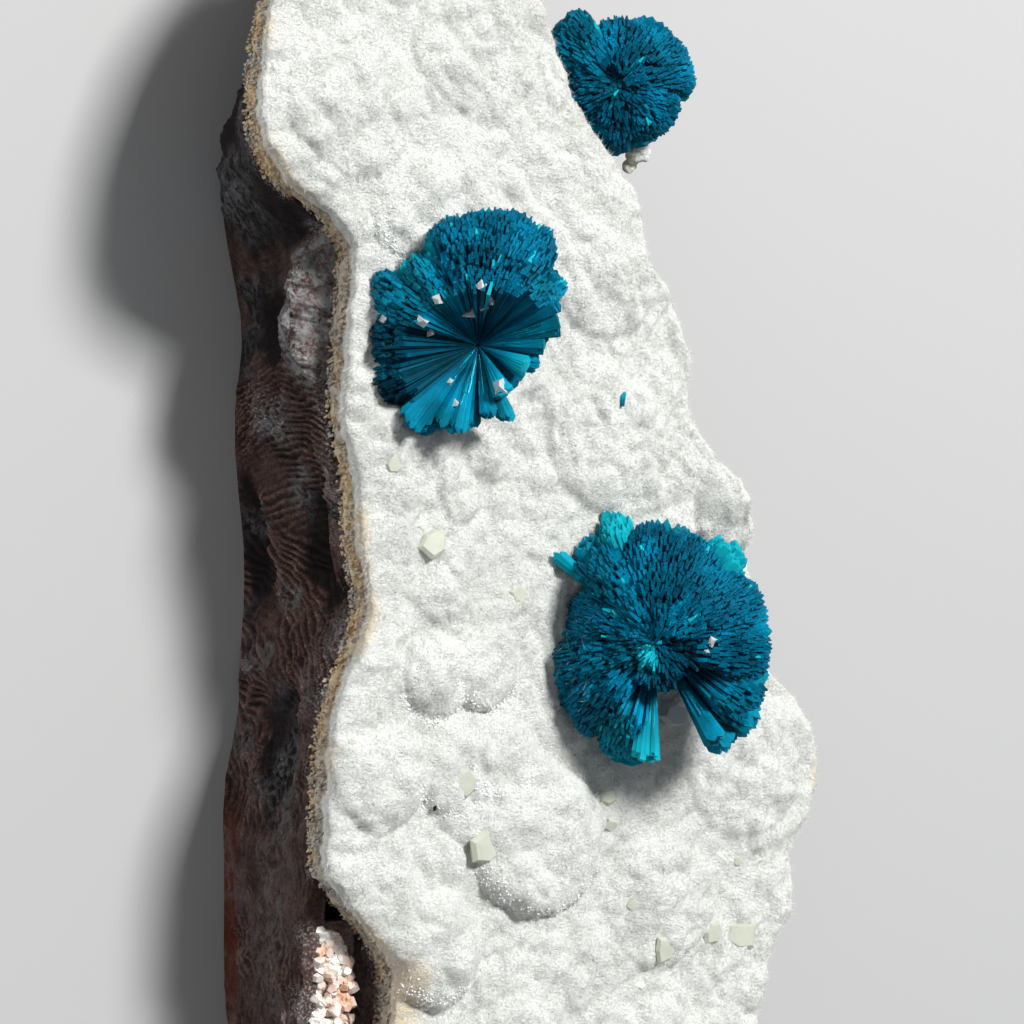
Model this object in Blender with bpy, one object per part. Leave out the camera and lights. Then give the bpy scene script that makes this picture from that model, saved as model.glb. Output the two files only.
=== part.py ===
"""Cavansite rosettes on a white mordenite crust, with the basalt that carries them.

The specimen lies on its sawn back. +Z is up, out of the crust, and +Y runs along the slab.
The origin is on the sawn back, near the middle of the slab. All sizes below are millimetres.
"""

import math

import bmesh
import bpy
from mathutils import Matrix, Vector, noise

MM = 0.001
SEAT_GAP = 0.06

# The slab's outline. Each row is one station along the slab: y, then x for the sawn foot's left
# edge, the basalt's left rim, the crust's left rim, the crust's right rim and the foot's right edge.
STATIONS = (
    (-40.0, -9.5, -10.5, -8.0, 8.6, 8.0),
    (-36.5, -13.8, -15.6, -10.4, 13.2, 12.2),
    (-31.5, -15.5, -16.9, -11.6, 14.8, 14.4),
    (-27.0, -15.8, -16.6, -11.4, 16.1, 15.4),
    (-24.2, -15.8, -16.2, -13.2, 17.8, 16.6),
    (-21.5, -15.8, -16.1, -15.9, 17.4, 16.6),
    (-16.8, -15.8, -16.1, -16.0, 19.7, 18.0),
    (-12.6, -14.9, -15.8, -15.7, 18.7, 17.0),
    (-9.0, -14.7, -14.6, -14.5, 15.1, 14.9),
    (-6.0, -14.5, -13.2, -13.1, 14.7, 14.2),
    (-2.0, -14.5, -13.9, -13.8, 13.9, 13.2),
    (1.8, -14.9, -14.1, -14.0, 12.8, 12.2),
    (5.6, -15.1, -15.0, -14.9, 9.8, 10.2),
    (11.0, -14.6, -14.7, -14.6, 9.2, 9.4),
    (16.4, -15.6, -14.6, -14.5, 5.8, 6.8),
    (18.4, -15.9, -17.9, -18.0, 6.0, 6.7),
    (20.6, -15.9, -19.8, -20.0, 4.7, 5.8),
    (24.0, -15.0, -20.0, -20.5, 2.2, 4.0),
    (28.0, -13.0, -19.2, -20.0, -0.2, 1.6),
    (33.0, -11.6, -17.0, -18.4, -3.6, -1.8),
    (37.0, -10.6, -14.2, -15.8, -6.4, -4.6),
    (40.0, -9.4, -11.2, -12.4, -8.6, -7.4),
)
FOOT_LEFT, ROCK_LEFT, CRUST_LEFT, CRUST_RIGHT, FOOT_RIGHT = range(1, 6)
HALF_LENGTH = 40.0
END_BULGE = 1.6
# The broken side's relief: a belly under the overhang at its upper left, ledges and ripples.
BELLY_SWELL, BELLY_Y, BELLY_REACH = 1.8, 19.5, 5.0
LEDGE_SWELL, RIPPLE_SWELL = 0.55, 0.22
# The seat block's skirt, from the bottom up: its two columns, its spread and its height at the seam.
SEAT_SKIRT = (
    (FOOT_LEFT, FOOT_RIGHT, 1.4, -16.0),
    (ROCK_LEFT, CRUST_RIGHT, 1.4, -2.0),
    (CRUST_LEFT, CRUST_RIGHT, 0.3, 0.6),
)

# The seam is the plane where the basalt ends and the tan rind begins.
SEAM_HEIGHT = 10.9
SEAM_FALL = 0.10
RIND_THICKNESS = 0.85
CRUST_THICKNESS = 2.1
CRUST_RIM_THICKNESS = 0.7
RIM_ROUNDING = 3.2

# Rounded lumps of the crust: x, y, radius and height.
LUMPS = (
    (-10.6, 18.0, 3.3, 0.9),
    (-8.8, -5.0, 2.0, 0.7),
    (-9.3, -9.9, 2.5, 1.1),
    (-6.0, -9.2, 2.5, 1.2),
    (-8.6, -15.2, 2.6, 1.0),
    (-5.4, -14.2, 2.4, 0.8),
    (-13.2, -15.4, 3.0, 1.2),
    (-2.2, -19.4, 4.6, 2.1),
    (-9.4, -25.4, 3.1, 1.7),
    (-7.0, -17.4, 2.2, 0.8),
    (7.2, -23.6, 4.0, 0.8),
    (13.6, -15.4, 4.6, 1.3),
    (12.6, 0.2, 3.2, 1.5),
    (2.6, 15.0, 4.2, 0.9),
    (-15.2, 24.0, 4.6, 0.9),
    (-6.6, 27.4, 4.2, 0.8),
    (-11.0, 3.2, 3.6, 0.6),
    (3.4, 5.0, 4.8, 0.7),
    (-11.6, 33.4, 3.6, 1.0),
    (-4.0, -33.4, 4.4, 1.2),
    (6.6, -33.0, 3.8, 1.0),
)

# Rosettes lean towards -X by this much. A fan's turn is measured in the leaning plane from +X,
# and its rise from that plane towards the viewer. Each fan is turn, rise and half spread in
# degrees, then its reach and how many blade tips it shows.
LEAN = 30.0
LEFT_FANS = (
    (84, 12, 34, 8.2, 6),
    (60, 34, 26, 8.0, 4),
    (92, 48, 28, 7.6, 3),
    (126, 30, 20, 7.4, 3),
    (150, 12, 24, 7.4, 3),
    (168, 44, 24, 7.2, 4),
    (196, 16, 22, 7.2, 3),
    (222, 22, 18, 6.9, 3),
    (243, 8, 15, 6.7, 3),
    (266, 10, 16, 5.9, 3),
    (292, 6, 12, 5.6, 2),
    (338, 22, 18, 3.9, 2),
    (4, 10, 24, 5.0, 3),
    (30, 20, 20, 5.8, 3),
    (78, 66, 33, 6.6, 4),
)
RIGHT_FANS = (
    (94, 8, 30, 7.4, 5),
    (112, -8, 18, 8.4, 2),
    (142, 0, 20, 7.2, 3),
    (70, 38, 28, 7.4, 4),
    (130, 42, 28, 7.2, 3),
    (178, 34, 26, 6.8, 4),
    (200, 6, 28, 6.6, 3),
    (236, 32, 22, 7.4, 3),
    (250, 10, 15, 7.8, 3),
    (310, 12, 14, 8.0, 3),
    (334, 28, 20, 7.2, 3),
    (356, 8, 24, 7.2, 3),
    (28, 30, 24, 7.4, 4),
    (40, 4, 24, 7.6, 3),
    (52, 64, 34, 6.7, 4),
    (158, 66, 32, 6.3, 3),
    (82, 14, 12, 7.0, 2),
)
TOP_FANS = (
    (16, 12, 30, 4.6, 3),
    (60, 26, 27, 4.5, 3),
    (104, 8, 27, 4.4, 3),
    (150, 20, 28, 4.6, 3),
    (198, 12, 25, 4.3, 2),
    (240, 22, 26, 4.4, 3),
    (287, 9, 26, 4.4, 3),
    (331, 25, 25, 4.5, 3),
    (133, 64, 38, 4.0, 3),
)
ROCK_ACROSS, ROCK_ALONG = 8, 38
ROCK_CLIMBS = (0.0, 0.1, 0.28, 0.5, 0.72, 0.92, 1.0)
FACE_COLUMNS, FACE_ROWS = 18, 40
# The fans on a rosette's underside: turn, rise and half spread, share of the reach, and tips.
ROOT_FANS = (
    (347, -37, 34, 0.84, 3),
    (74, -43, 30, 0.82, 2),
    (161, -36, 31, 0.84, 3),
)
# A fan starts this share of its reach out from the heart, inside the solid core. Its edge has
# blade tips with notches between them. Half depths are shares of the reach.
ROOT_START = 0.21
CORE_SHARE = 0.32
NOTCH_SHARE = 0.94
NOTCH_HALF_DEPTH, TIP_HALF_DEPTH, ROOT_HALF_DEPTH = 0.12, 0.17, 0.08
CHISEL_START = 0.9

# Each rosette: name, where its heart is, and its fans.
ROSETTES = (
    ("cavansite_rosette_left", (-7.9, 9.7, 17.4), LEFT_FANS),
    ("cavansite_rosette_right", (4.6, -7.7, 16.8), RIGHT_FANS),
    ("cavansite_rosette_top", (4.85, 25.7, 12.4), TOP_FANS),
)

# Crystals that stand on the crust. A shape is its outline, and how high its roof is at each corner.
BLOCK = (((-0.5, -0.28), (0.1, -0.5), (0.5, -0.12), (0.42, 0.34), (-0.2, 0.44)), (0.55, 0.35, 0.3, 0.6, 0.75))
SPLINTER = (((-0.16, -0.5), (0.14, -0.44), (0.16, 0.42), (-0.12, 0.5)), (0.2, 0.28, 0.3, 0.2))
# Heulandite crystals: x, y, size, and turn in degrees.
HEULANDITES = (
    (-9.8, -1.8, 1.5, 20),
    (-12.7, 2.7, 0.9, 65),
    (-3.6, -5.0, 0.9, 10),
    (-7.9, -15.9, 1.4, 40),
    (-6.4, -19.8, 1.6, 75),
    (2.9, -17.2, 1.2, 15),
    (7.8, -12.2, 1.5, 50),
    (11.0, -25.8, 1.5, 30),
    (13.3, -26.1, 1.5, 80),
    (7.1, -26.6, 1.3, 5),
)
CAVANSITE_SPLINTER = (3.7, 6.8, 0.95, 8)

# The hollow at the crust's lower left: a crust of small crystals on the rock, beside a crevice.
DRUSE_COLUMNS, DRUSE_ROWS = 5, 16
DRUSE_LEFT, DRUSE_RIGHT = 0.5, 1.6
DRUSE_START, DRUSE_END = -38.6, -24.6
DRUSE_THICKNESS = 0.5
DRUSE_RELIEF = 0.9
# The crevice's axis in plan, from its upper end to its lower end: x, y, half width and depth.
CREVICE = ((-12.9, -24.0, 0.25, 1.2), (-12.5, -29.0, 0.75, 2.8), (-11.9, -35.0, 0.8, 3.0), (-10.4, -43.0, 0.7, 2.6))


def reading(column, y):
    """x of one edge of the slab at y, on a Catmull-Rom curve through the stations."""
    y = min(max(y, STATIONS[0][0]), STATIONS[-1][0])
    at = next(i for i in range(1, len(STATIONS)) if y <= STATIONS[i][0])
    rows = [STATIONS[min(max(at + k, 0), len(STATIONS) - 1)] for k in (-2, -1, 0, 1)]
    before, start, end, after = rows
    share = (y - start[0]) / (end[0] - start[0])
    gap = end[0] - start[0]
    slope_in = gap * (end[column] - before[column]) / (end[0] - before[0])
    slope_out = gap * (after[column] - start[column]) / (after[0] - start[0])
    square, cube = share**2, share**3
    return (
        (2 * cube - 3 * square + 1) * start[column]
        + (cube - 2 * square + share) * slope_in
        + (3 * square - 2 * cube) * end[column]
        + (cube - square) * slope_out
    )


def seam(x):
    return SEAM_HEIGHT - SEAM_FALL * x


def mix(a, b, share):
    return a + (b - a) * share


def plan(left, right, across, along):
    """Where a share across and along the slab falls in plan, between two columns of STATIONS."""
    bulge = END_BULGE * (1 - (2 * across - 1) ** 2) - END_BULGE
    y = mix(-HALF_LENGTH - bulge, HALF_LENGTH + bulge, along)
    return mix(reading(left, y), reading(right, y), across), y


def crust_top(x, y):
    """Height of the crust's face: it rounds down to its rims and swells into lumps."""
    left, right = reading(CRUST_LEFT, y), reading(CRUST_RIGHT, y)
    inset = min(x - left, right - x, HALF_LENGTH - abs(y))
    share = min(max(inset / RIM_ROUNDING, 0), 1)
    rounding = math.sqrt(1 - (1 - share) ** 2)
    thickness = mix(CRUST_RIM_THICKNESS, CRUST_THICKNESS, rounding)
    swell = 0.0
    for lump_x, lump_y, radius, height in LUMPS:
        away = math.hypot(x - lump_x, y - lump_y) / radius
        if away < 1:
            swell = max(swell, height * math.sqrt(1 - away**2))
    wave = 0.35 * noise.noise(Vector((x, y, 0)) * 0.22)
    return seam(x) + 2 * SEAT_GAP + RIND_THICKNESS + thickness + (swell + wave) * rounding


def perimeter(across_cells, along_cells):
    """Shares across and along for the points around the slab, anticlockwise from the lower left."""
    ring = [(i / across_cells, 0.0) for i in range(across_cells)]
    ring += [(1.0, i / along_cells) for i in range(along_cells)]
    ring += [(1 - i / across_cells, 1.0) for i in range(across_cells)]
    ring += [(0.0, 1 - i / along_cells) for i in range(along_cells)]
    return ring


def add_wall(mesh, rows):
    """Faces between rings of vertices, given from the lowest ring up."""
    for lower, upper in zip(rows, rows[1:]):
        for i in range(len(lower)):
            j = (i + 1) % len(lower)
            mesh.faces.new((lower[i], lower[j], upper[j], upper[i]))


def add_ring(mesh, points):
    return [mesh.verts.new(Vector(point) * MM) for point in points]


def make_material(name, colour, roughness):
    material = bpy.data.materials.new(name)
    material.use_nodes = True
    shader = material.node_tree.nodes["Principled BSDF"]
    shader.inputs["Base Color"].default_value = (*colour, 1.0)
    shader.inputs["Roughness"].default_value = roughness
    shader.inputs["Metallic"].default_value = 0.0
    return material


def make_object(name, mesh, material, collection=None):
    mesh.normal_update()
    data = bpy.data.meshes.new(name)
    mesh.to_mesh(data)
    mesh.free()
    if material:
        data.materials.append(material)
    piece = bpy.data.objects.new(name, data)
    (collection or bpy.context.scene.collection).objects.link(piece)
    return piece


def hide_tool(tool):
    tool.hide_render = True
    tool.display_type = "WIRE"


def rock_point(share_across, share_along, climb):
    """A point of the basalt's broken side, at a share of its height."""
    foot = plan(FOOT_LEFT, FOOT_RIGHT, share_across, share_along)
    rim = plan(ROCK_LEFT, CRUST_RIGHT, share_across, share_along)
    x, y = mix(foot[0], rim[0], climb), mix(foot[1], rim[1], climb)
    z = climb * seam(x)
    outward = Vector((share_across - 0.5, (share_along - 0.5) * 0.6, 0)).normalized()
    belly = BELLY_SWELL * math.sin(math.pi * climb) * math.exp(-(((y - BELLY_Y) / BELLY_REACH) ** 2))
    ledge = LEDGE_SWELL * noise.noise(Vector((x * 0.15, y * 0.3, z * 0.55)))
    ripple = RIPPLE_SWELL * math.sin(y * 2.2 + z * 0.6)
    push = (belly if share_across < 0.5 else 0.0) + ledge + ripple
    fade = math.sin(math.pi * min(max(climb, 0.0), 1.0)) ** 0.5
    x += outward.x * push * fade
    y += outward.y * push * fade
    return x, y, z


def make_basalt(material):
    """The dark rock, flat on its sawn back, with broken sides up to the seam."""
    mesh = bmesh.new()
    ring = perimeter(ROCK_ACROSS, ROCK_ALONG)
    rows = [add_ring(mesh, [rock_point(*share, climb) for share in ring]) for climb in ROCK_CLIMBS]
    add_wall(mesh, rows)
    mesh.faces.new(reversed(rows[0]))
    mesh.faces.new(rows[-1])
    return make_object("basalt_matrix", mesh, material)


def make_rind(material):
    """The thin tan layer between the basalt and the crust."""
    mesh = bmesh.new()
    shares = perimeter(ROCK_ACROSS, ROCK_ALONG)
    rows = []
    for lift in (SEAT_GAP, SEAT_GAP + RIND_THICKNESS):
        points = []
        for share in shares:
            x, y = plan(CRUST_LEFT, CRUST_RIGHT, *share)
            points.append((x, y, seam(x) + lift))
        rows.append(add_ring(mesh, points))
    add_wall(mesh, rows)
    mesh.faces.new(reversed(rows[0]))
    mesh.faces.new(rows[-1])
    return make_object("tan_rind", mesh, material)


def add_crust_face(mesh, lift):
    """The lumpy face as a grid, raised by lift. Returns the vertices around its edge."""
    grid = []
    for row in range(FACE_ROWS + 1):
        line = []
        for column in range(FACE_COLUMNS + 1):
            x, y = plan(CRUST_LEFT, CRUST_RIGHT, column / FACE_COLUMNS, row / FACE_ROWS)
            line.append((x, y, crust_top(x, y) + lift))
        grid.append(add_ring(mesh, line))
    for near, far in zip(grid, grid[1:]):
        for i in range(FACE_COLUMNS):
            mesh.faces.new((near[i], near[i + 1], far[i + 1]))
            mesh.faces.new((near[i], far[i + 1], far[i]))
    return [
        grid[round(along * FACE_ROWS)][round(across * FACE_COLUMNS)]
        for across, along in perimeter(FACE_COLUMNS, FACE_ROWS)
    ]


def make_crust(material):
    """The white crust: flat underneath, lumpy on its face."""
    mesh = bmesh.new()
    upper = add_crust_face(mesh, 0.0)
    below = []
    for share in perimeter(FACE_COLUMNS, FACE_ROWS):
        x, y = plan(CRUST_LEFT, CRUST_RIGHT, *share)
        below.append((x, y, seam(x) + 2 * SEAT_GAP + RIND_THICKNESS))
    lower = add_ring(mesh, below)
    add_wall(mesh, [lower, upper])
    mesh.faces.new(reversed(lower))
    return make_object("mordenite_crust", mesh, material)


def leaning_axes():
    """The leaning plane's two directions and its normal, as the rows of a rosette's frame."""
    lean = math.radians(LEAN)
    right = Vector((math.cos(lean), 0, math.sin(lean)))
    facing = Vector((-math.sin(lean), 0, math.cos(lean)))
    return right, Vector((0, 1, 0)), facing


def add_fan(mesh, heart, turn, rise, half_spread, reach, tips):
    """One fan of blades: pleated front and back, and a zigzag of chisel tips around its edge."""
    right, up, facing = leaning_axes()
    turn, rise = math.radians(turn), math.radians(rise)
    level = right * math.cos(turn) + up * math.sin(turn)
    aim = level * math.cos(rise) + facing * math.sin(rise)
    side = up * math.cos(turn) - right * math.sin(turn)
    normal = aim.cross(side)
    front, edge, back = [], [], []
    for step in range(2 * tips + 1):
        angle = math.radians(half_spread) * (step / tips - 1)
        notch = step % 2 == 0
        length = reach * math.cos(angle) ** 0.35 * (NOTCH_SHARE if notch else 1.0)
        half_depth = reach * (NOTCH_HALF_DEPTH if notch else TIP_HALF_DEPTH)
        blade = aim * math.cos(angle) + side * math.sin(angle)
        front.append(heart + blade * length * CHISEL_START + normal * half_depth)
        edge.append(heart + blade * length)
        back.append(heart + blade * length * CHISEL_START - normal * half_depth)
    root = heart + aim * reach * ROOT_START
    half_root = normal * reach * ROOT_HALF_DEPTH
    front, edge, back = (add_ring(mesh, points) for points in (front, edge, back))
    root_front, root_back = add_ring(mesh, (root + half_root, root - half_root))
    for i in range(2 * tips):
        mesh.faces.new((root_front, front[i], front[i + 1]))
        mesh.faces.new((front[i], edge[i], edge[i + 1], front[i + 1]))
        mesh.faces.new((edge[i], back[i], back[i + 1], edge[i + 1]))
        mesh.faces.new((root_back, back[i + 1], back[i]))
    mesh.faces.new((root_front, root_back, back[0], edge[0], front[0]))
    mesh.faces.new((root_front, front[-1], edge[-1], back[-1], root_back))


def trim_to_seat(piece, seat, solver="EXACT"):
    cut = piece.modifiers.new("seat", "BOOLEAN")
    cut.operation = "DIFFERENCE"
    cut.object = seat
    cut.solver = solver


def make_rosette(name, heart, fans, material, seat):
    """A ball of fans joined to a solid heart, and cut to sit on the crust."""
    heart = Vector(heart)
    reach = max(fan[3] for fan in fans)
    under = [(turn, rise, spread, reach * share, tips) for turn, rise, spread, share, tips in ROOT_FANS]
    blades = bpy.data.collections.new(name + "_fans")
    bpy.context.scene.collection.children.link(blades)
    for number, fan in enumerate(list(fans) + under, 1):
        mesh = bmesh.new()
        add_fan(mesh, heart, *fan)
        bmesh.ops.triangulate(mesh, faces=mesh.faces)
        bmesh.ops.recalc_face_normals(mesh, faces=mesh.faces)
        hide_tool(make_object(f"{name}_fan_{number}", mesh, None, blades))
    core = bmesh.new()
    place = Matrix.Translation(heart * MM) @ Matrix.Diagonal((1, 1, 1.15, 1))
    bmesh.ops.create_icosphere(core, subdivisions=1, radius=reach * CORE_SHARE * MM, matrix=place)
    rosette = make_object(name, core, material)
    join = rosette.modifiers.new("fans", "BOOLEAN")
    join.operation = "UNION"
    join.operand_type = "COLLECTION"
    join.collection = blades
    # The exact solver leaves open edges where this many fans cross, so this one joins them.
    join.solver = "MANIFOLD"
    trim_to_seat(rosette, seat, "MANIFOLD")
    return rosette


def make_seat():
    """A block that holds the whole slab with a small gap. It trims what stands on the slab."""
    mesh = bmesh.new()
    upper = add_crust_face(mesh, SEAT_GAP)
    rings = []
    for left, right, spread, height in SEAT_SKIRT:
        points = []
        for across, along in perimeter(FACE_COLUMNS, FACE_ROWS):
            x, y = plan(left, right, across, along)
            x += spread * (2 * across - 1)
            y += spread * (2 * along - 1)
            points.append((x, y, seam(x) + height))
        rings.append(add_ring(mesh, points))
    add_wall(mesh, rings + [upper])
    mesh.faces.new(reversed(rings[0]))
    bmesh.ops.triangulate(mesh, faces=mesh.faces)
    block = make_object("seat_block", mesh, None)
    hide_tool(block)
    return block


def make_crystal(name, shape, place, material, seat):
    """A blocky crystal with a slanting roof, cut off where it meets the crust."""
    mesh = bmesh.new()
    outline, roofs = shape
    x, y, size, turn = place
    spin = Matrix.Rotation(math.radians(turn), 2)
    height = crust_top(x, y)
    rings = []
    for scale, lift in ((0.8, -0.6), (1.0, 0.1), (0.55, 1.0)):
        points = []
        for corner, roof in zip(outline, roofs):
            flat = spin @ Vector(corner) * size * scale
            rise = lift * size * (roof if lift == 1.0 else 1.0)
            points.append((x + flat.x, y + flat.y, height + rise))
        rings.append(add_ring(mesh, points))
    add_wall(mesh, rings)
    mesh.faces.new(reversed(rings[0]))
    mesh.faces.new(rings[-1])
    crystal = make_object(name, mesh, material)
    trim_to_seat(crystal, seat)
    return crystal


def make_druse(material):
    """The crust of small crystals in the hollow: a thin plate with a faceted, uneven face."""
    mesh = bmesh.new()
    grid, below = [], {}
    for row in range(DRUSE_ROWS + 1):
        y = mix(DRUSE_START, DRUSE_END, row / DRUSE_ROWS)
        left = reading(ROCK_LEFT, y) + DRUSE_LEFT
        right = reading(CRUST_LEFT, y) - DRUSE_RIGHT
        line = []
        for column in range(DRUSE_COLUMNS + 1):
            x = mix(left, right, column / DRUSE_COLUMNS)
            bump = 0.5 + 0.5 * noise.noise(Vector((x * 1.9, y * 1.4, 3.0)))
            line.append((x, y, seam(x) + SEAT_GAP + DRUSE_THICKNESS + DRUSE_RELIEF * bump))
            below[column, row] = (x, y, seam(x) + SEAT_GAP)
        grid.append(add_ring(mesh, line))
    for near, far in zip(grid, grid[1:]):
        for i in range(DRUSE_COLUMNS):
            mesh.faces.new((near[i], near[i + 1], far[i + 1], far[i]))
    edge = [
        (round(across * DRUSE_COLUMNS), round(along * DRUSE_ROWS))
        for across, along in perimeter(DRUSE_COLUMNS, DRUSE_ROWS)
    ]
    lower = add_ring(mesh, [below[cell] for cell in edge])
    add_wall(mesh, [lower, [grid[row][column] for column, row in edge]])
    mesh.faces.new(reversed(lower))
    return make_object("hollow_crystals", mesh, material)


def cut_crevice(basalt):
    """The dark crevice beside the hollow's crystals: a groove in the rock with a narrow floor."""
    mesh = bmesh.new()
    rings = []
    for x, y, half_width, depth in CREVICE:
        top, floor = seam(x) + 1.0, seam(x) - depth
        rings.append(
            add_ring(
                mesh,
                (
                    (x - half_width * 1.3, y, top),
                    (x - half_width * 0.3, y, floor),
                    (x + half_width * 0.3, y, floor),
                    (x + half_width * 1.3, y, top),
                ),
            )
        )
    add_wall(mesh, rings)
    mesh.faces.new(reversed(rings[0]))
    mesh.faces.new(rings[-1])
    bmesh.ops.triangulate(mesh, faces=mesh.faces)
    bmesh.ops.recalc_face_normals(mesh, faces=mesh.faces)
    groove = make_object("crevice_groove", mesh, None)
    hide_tool(groove)
    cut = basalt.modifiers.new("crevice", "BOOLEAN")
    cut.operation = "DIFFERENCE"
    cut.object = groove


def main():
    for leftover in list(bpy.data.objects):
        bpy.data.objects.remove(leftover)
    basalt = make_material("basalt", (0.085, 0.055, 0.05), 0.85)
    rind = make_material("tan_rind", (0.62, 0.42, 0.22), 0.7)
    crust = make_material("white_mordenite", (0.86, 0.87, 0.84), 0.9)
    cavansite = make_material("cavansite", (0.0, 0.16, 0.26), 0.25)
    heulandite = make_material("heulandite", (0.7, 0.71, 0.62), 0.2)
    druse = make_material("hollow_heulandite", (0.72, 0.6, 0.54), 0.35)
    cut_crevice(make_basalt(basalt))
    make_rind(rind)
    make_crust(crust)
    make_druse(druse)
    seat = make_seat()
    for name, heart, fans in ROSETTES:
        make_rosette(name, heart, fans, cavansite, seat)
    for number, place in enumerate(HEULANDITES, 1):
        make_crystal(f"heulandite_crystal_{number}", BLOCK, place, heulandite, seat)
    make_crystal("cavansite_splinter", SPLINTER, CAVANSITE_SPLINTER, cavansite, seat)


main()
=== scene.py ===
import math
import bmesh
import bpy
import numpy as np
from mathutils import Matrix, Vector
from mathutils.bvhtree import BVHTree


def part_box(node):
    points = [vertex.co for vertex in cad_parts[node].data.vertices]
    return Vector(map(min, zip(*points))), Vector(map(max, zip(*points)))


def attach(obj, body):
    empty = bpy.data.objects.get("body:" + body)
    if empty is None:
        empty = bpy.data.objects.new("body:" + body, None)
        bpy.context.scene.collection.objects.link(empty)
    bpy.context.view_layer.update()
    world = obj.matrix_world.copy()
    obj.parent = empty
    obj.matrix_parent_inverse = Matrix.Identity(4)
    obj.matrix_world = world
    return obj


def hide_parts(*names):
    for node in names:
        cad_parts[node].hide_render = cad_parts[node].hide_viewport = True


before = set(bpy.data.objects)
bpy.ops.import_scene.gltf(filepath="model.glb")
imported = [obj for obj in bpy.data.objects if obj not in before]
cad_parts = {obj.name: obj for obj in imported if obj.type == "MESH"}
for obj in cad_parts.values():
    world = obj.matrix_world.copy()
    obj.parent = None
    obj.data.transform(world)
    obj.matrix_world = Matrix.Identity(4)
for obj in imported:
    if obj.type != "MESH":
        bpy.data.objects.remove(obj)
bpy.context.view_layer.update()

mm = 0.001  # everything below is in millimetres until a mesh is made


# Camera: it leans to the left of the crust's upright, and +Y is up in the picture.
cameraValues = dict(
    lean=30.0,
    target=(-2.5, 0.0, 12.0),
    distance=260.0,
    frameWidth=61.44,  # millimetres across the picture, at the target
    sensor=36.0,
    pictureSize=1024,
    clip=(0.01, 10.0),  # metres
)


def cameraAxes():
    lean = math.radians(cameraValues["lean"])
    right = np.array((math.cos(lean), 0.0, math.sin(lean)))
    up = np.array((0.0, 1.0, 0.0))
    toward = np.array((-math.sin(lean), 0.0, math.cos(lean)))
    return right, up, toward


def makeCamera():
    values = cameraValues
    right, up, toward = cameraAxes()
    lens = bpy.data.cameras.new("camera")
    lens.sensor_width = values["sensor"]
    lens.lens = values["sensor"] * values["distance"] / values["frameWidth"]
    lens.clip_start, lens.clip_end = values["clip"]
    eye = bpy.data.objects.new("camera", lens)
    turn = Matrix((right, up, toward)).transposed().to_4x4()
    turn.translation = (Vector(values["target"]) + Vector(toward) * values["distance"]) * mm
    eye.matrix_world = turn
    bpy.context.scene.collection.objects.link(eye)
    bpy.context.scene.camera = eye


# Start and direction of the line of sight through a pixel of the picture.
def rayThrough(pixel):
    values = cameraValues
    right, up, toward = cameraAxes()
    across = (pixel[0] / values["pictureSize"] - 0.5) * values["frameWidth"]
    above = (0.5 - pixel[1] / values["pictureSize"]) * values["frameWidth"]
    start = np.array(values["target"]) + toward * values["distance"]
    along = right * across + up * above - toward * values["distance"]
    return start, along / np.linalg.norm(along)


makeCamera()
print("camera ready")


# Small tools that every piece uses.

# Soft random values from -1 to 1 at each point, with bumps about size wide.
def smoothNoise(points, size, seed=0):
    # Each seed has its own slant, so that the cells' grid doesn't show.
    slant = np.array(Matrix.Rotation(0.7 + 1.3 * (seed % 11), 3, Vector((1, 2, 3))))
    scaled = points @ slant / size
    cell = np.floor(scaled).astype(np.int64)
    part = scaled - cell
    part = part * part * (3 - 2 * part)
    total = np.zeros(len(points))
    for corner in range(8):
        step = np.array((corner & 1, (corner >> 1) & 1, (corner >> 2) & 1))
        at = cell + step
        mixed = at[:, 0] * 73856093 ^ at[:, 1] * 19349663 ^ at[:, 2] * 83492791 ^ (seed + 7) * 2654435761
        mixed &= 0xFFFFFFFF
        mixed = ((mixed ^ (mixed >> 15)) * 2246822519) & 0xFFFFFFFF
        mixed = ((mixed ^ (mixed >> 13)) * 3266489917) & 0xFFFFFFFF
        value = (mixed ^ (mixed >> 16)) / 2**31 - 1
        weight = np.prod(np.where(step, part, 1 - part), axis=1)
        total += weight * value
    return total


def layeredNoise(points, size, layers, seed=0):
    total, strength = np.zeros(len(points)), 1.0
    for layer in range(layers):
        total += strength * smoothNoise(points, size, seed + layer * 17)
        size, strength = size / 2.03, strength * 0.5
    return total


def blend(a, b, share):
    return a + (b - a) * share


def smoothStep(low, high, value):
    share = np.clip((value - low) / (high - low), 0, 1)
    return share * share * (3 - 2 * share)


def unit(vectors):
    return vectors / np.maximum(np.linalg.norm(vectors, axis=-1, keepdims=True), 1e-9)


# A mesh from millimetre points, riding on the body, in place of the solids' nodes that stands names.
# Each of its marks is a row of numbers for the shader, one to a point.
def makePiece(name, points, faces, material, slotName, stands=(), smooth=True, sharp=None, marks=None):
    data = bpy.data.meshes.new(name)
    data.from_pydata((np.asarray(points) * mm).tolist(), [], faces)
    data.update()
    for label, numbers in (marks or {}).items():
        layer = data.attributes.new(label, "FLOAT", "POINT")
        layer.data.foreach_set("value", np.asarray(numbers, np.float32))
    if smooth:
        data.shade_smooth()
        if sharp:
            data.set_sharp_from_angle(angle=math.radians(sharp))
    data.materials.append(material)
    piece = bpy.data.objects.new(name, data)
    bpy.context.scene.collection.objects.link(piece)
    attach(piece, "root")
    if stands:
        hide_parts(*stands)


# A search tree of one solid, in millimetres.
def treeOf(nodeName):
    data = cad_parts[nodeName].data
    corners = [vertex.co / mm for vertex in data.vertices]
    return BVHTree.FromPolygons(corners, [tuple(polygon.vertices) for polygon in data.polygons])


# The middle and the two far corners of one solid's box, in millimetres.
def boxOf(nodeName):
    low, high = [np.array(corner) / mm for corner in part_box(nodeName)]
    return (low + high) / 2, low, high


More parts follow.
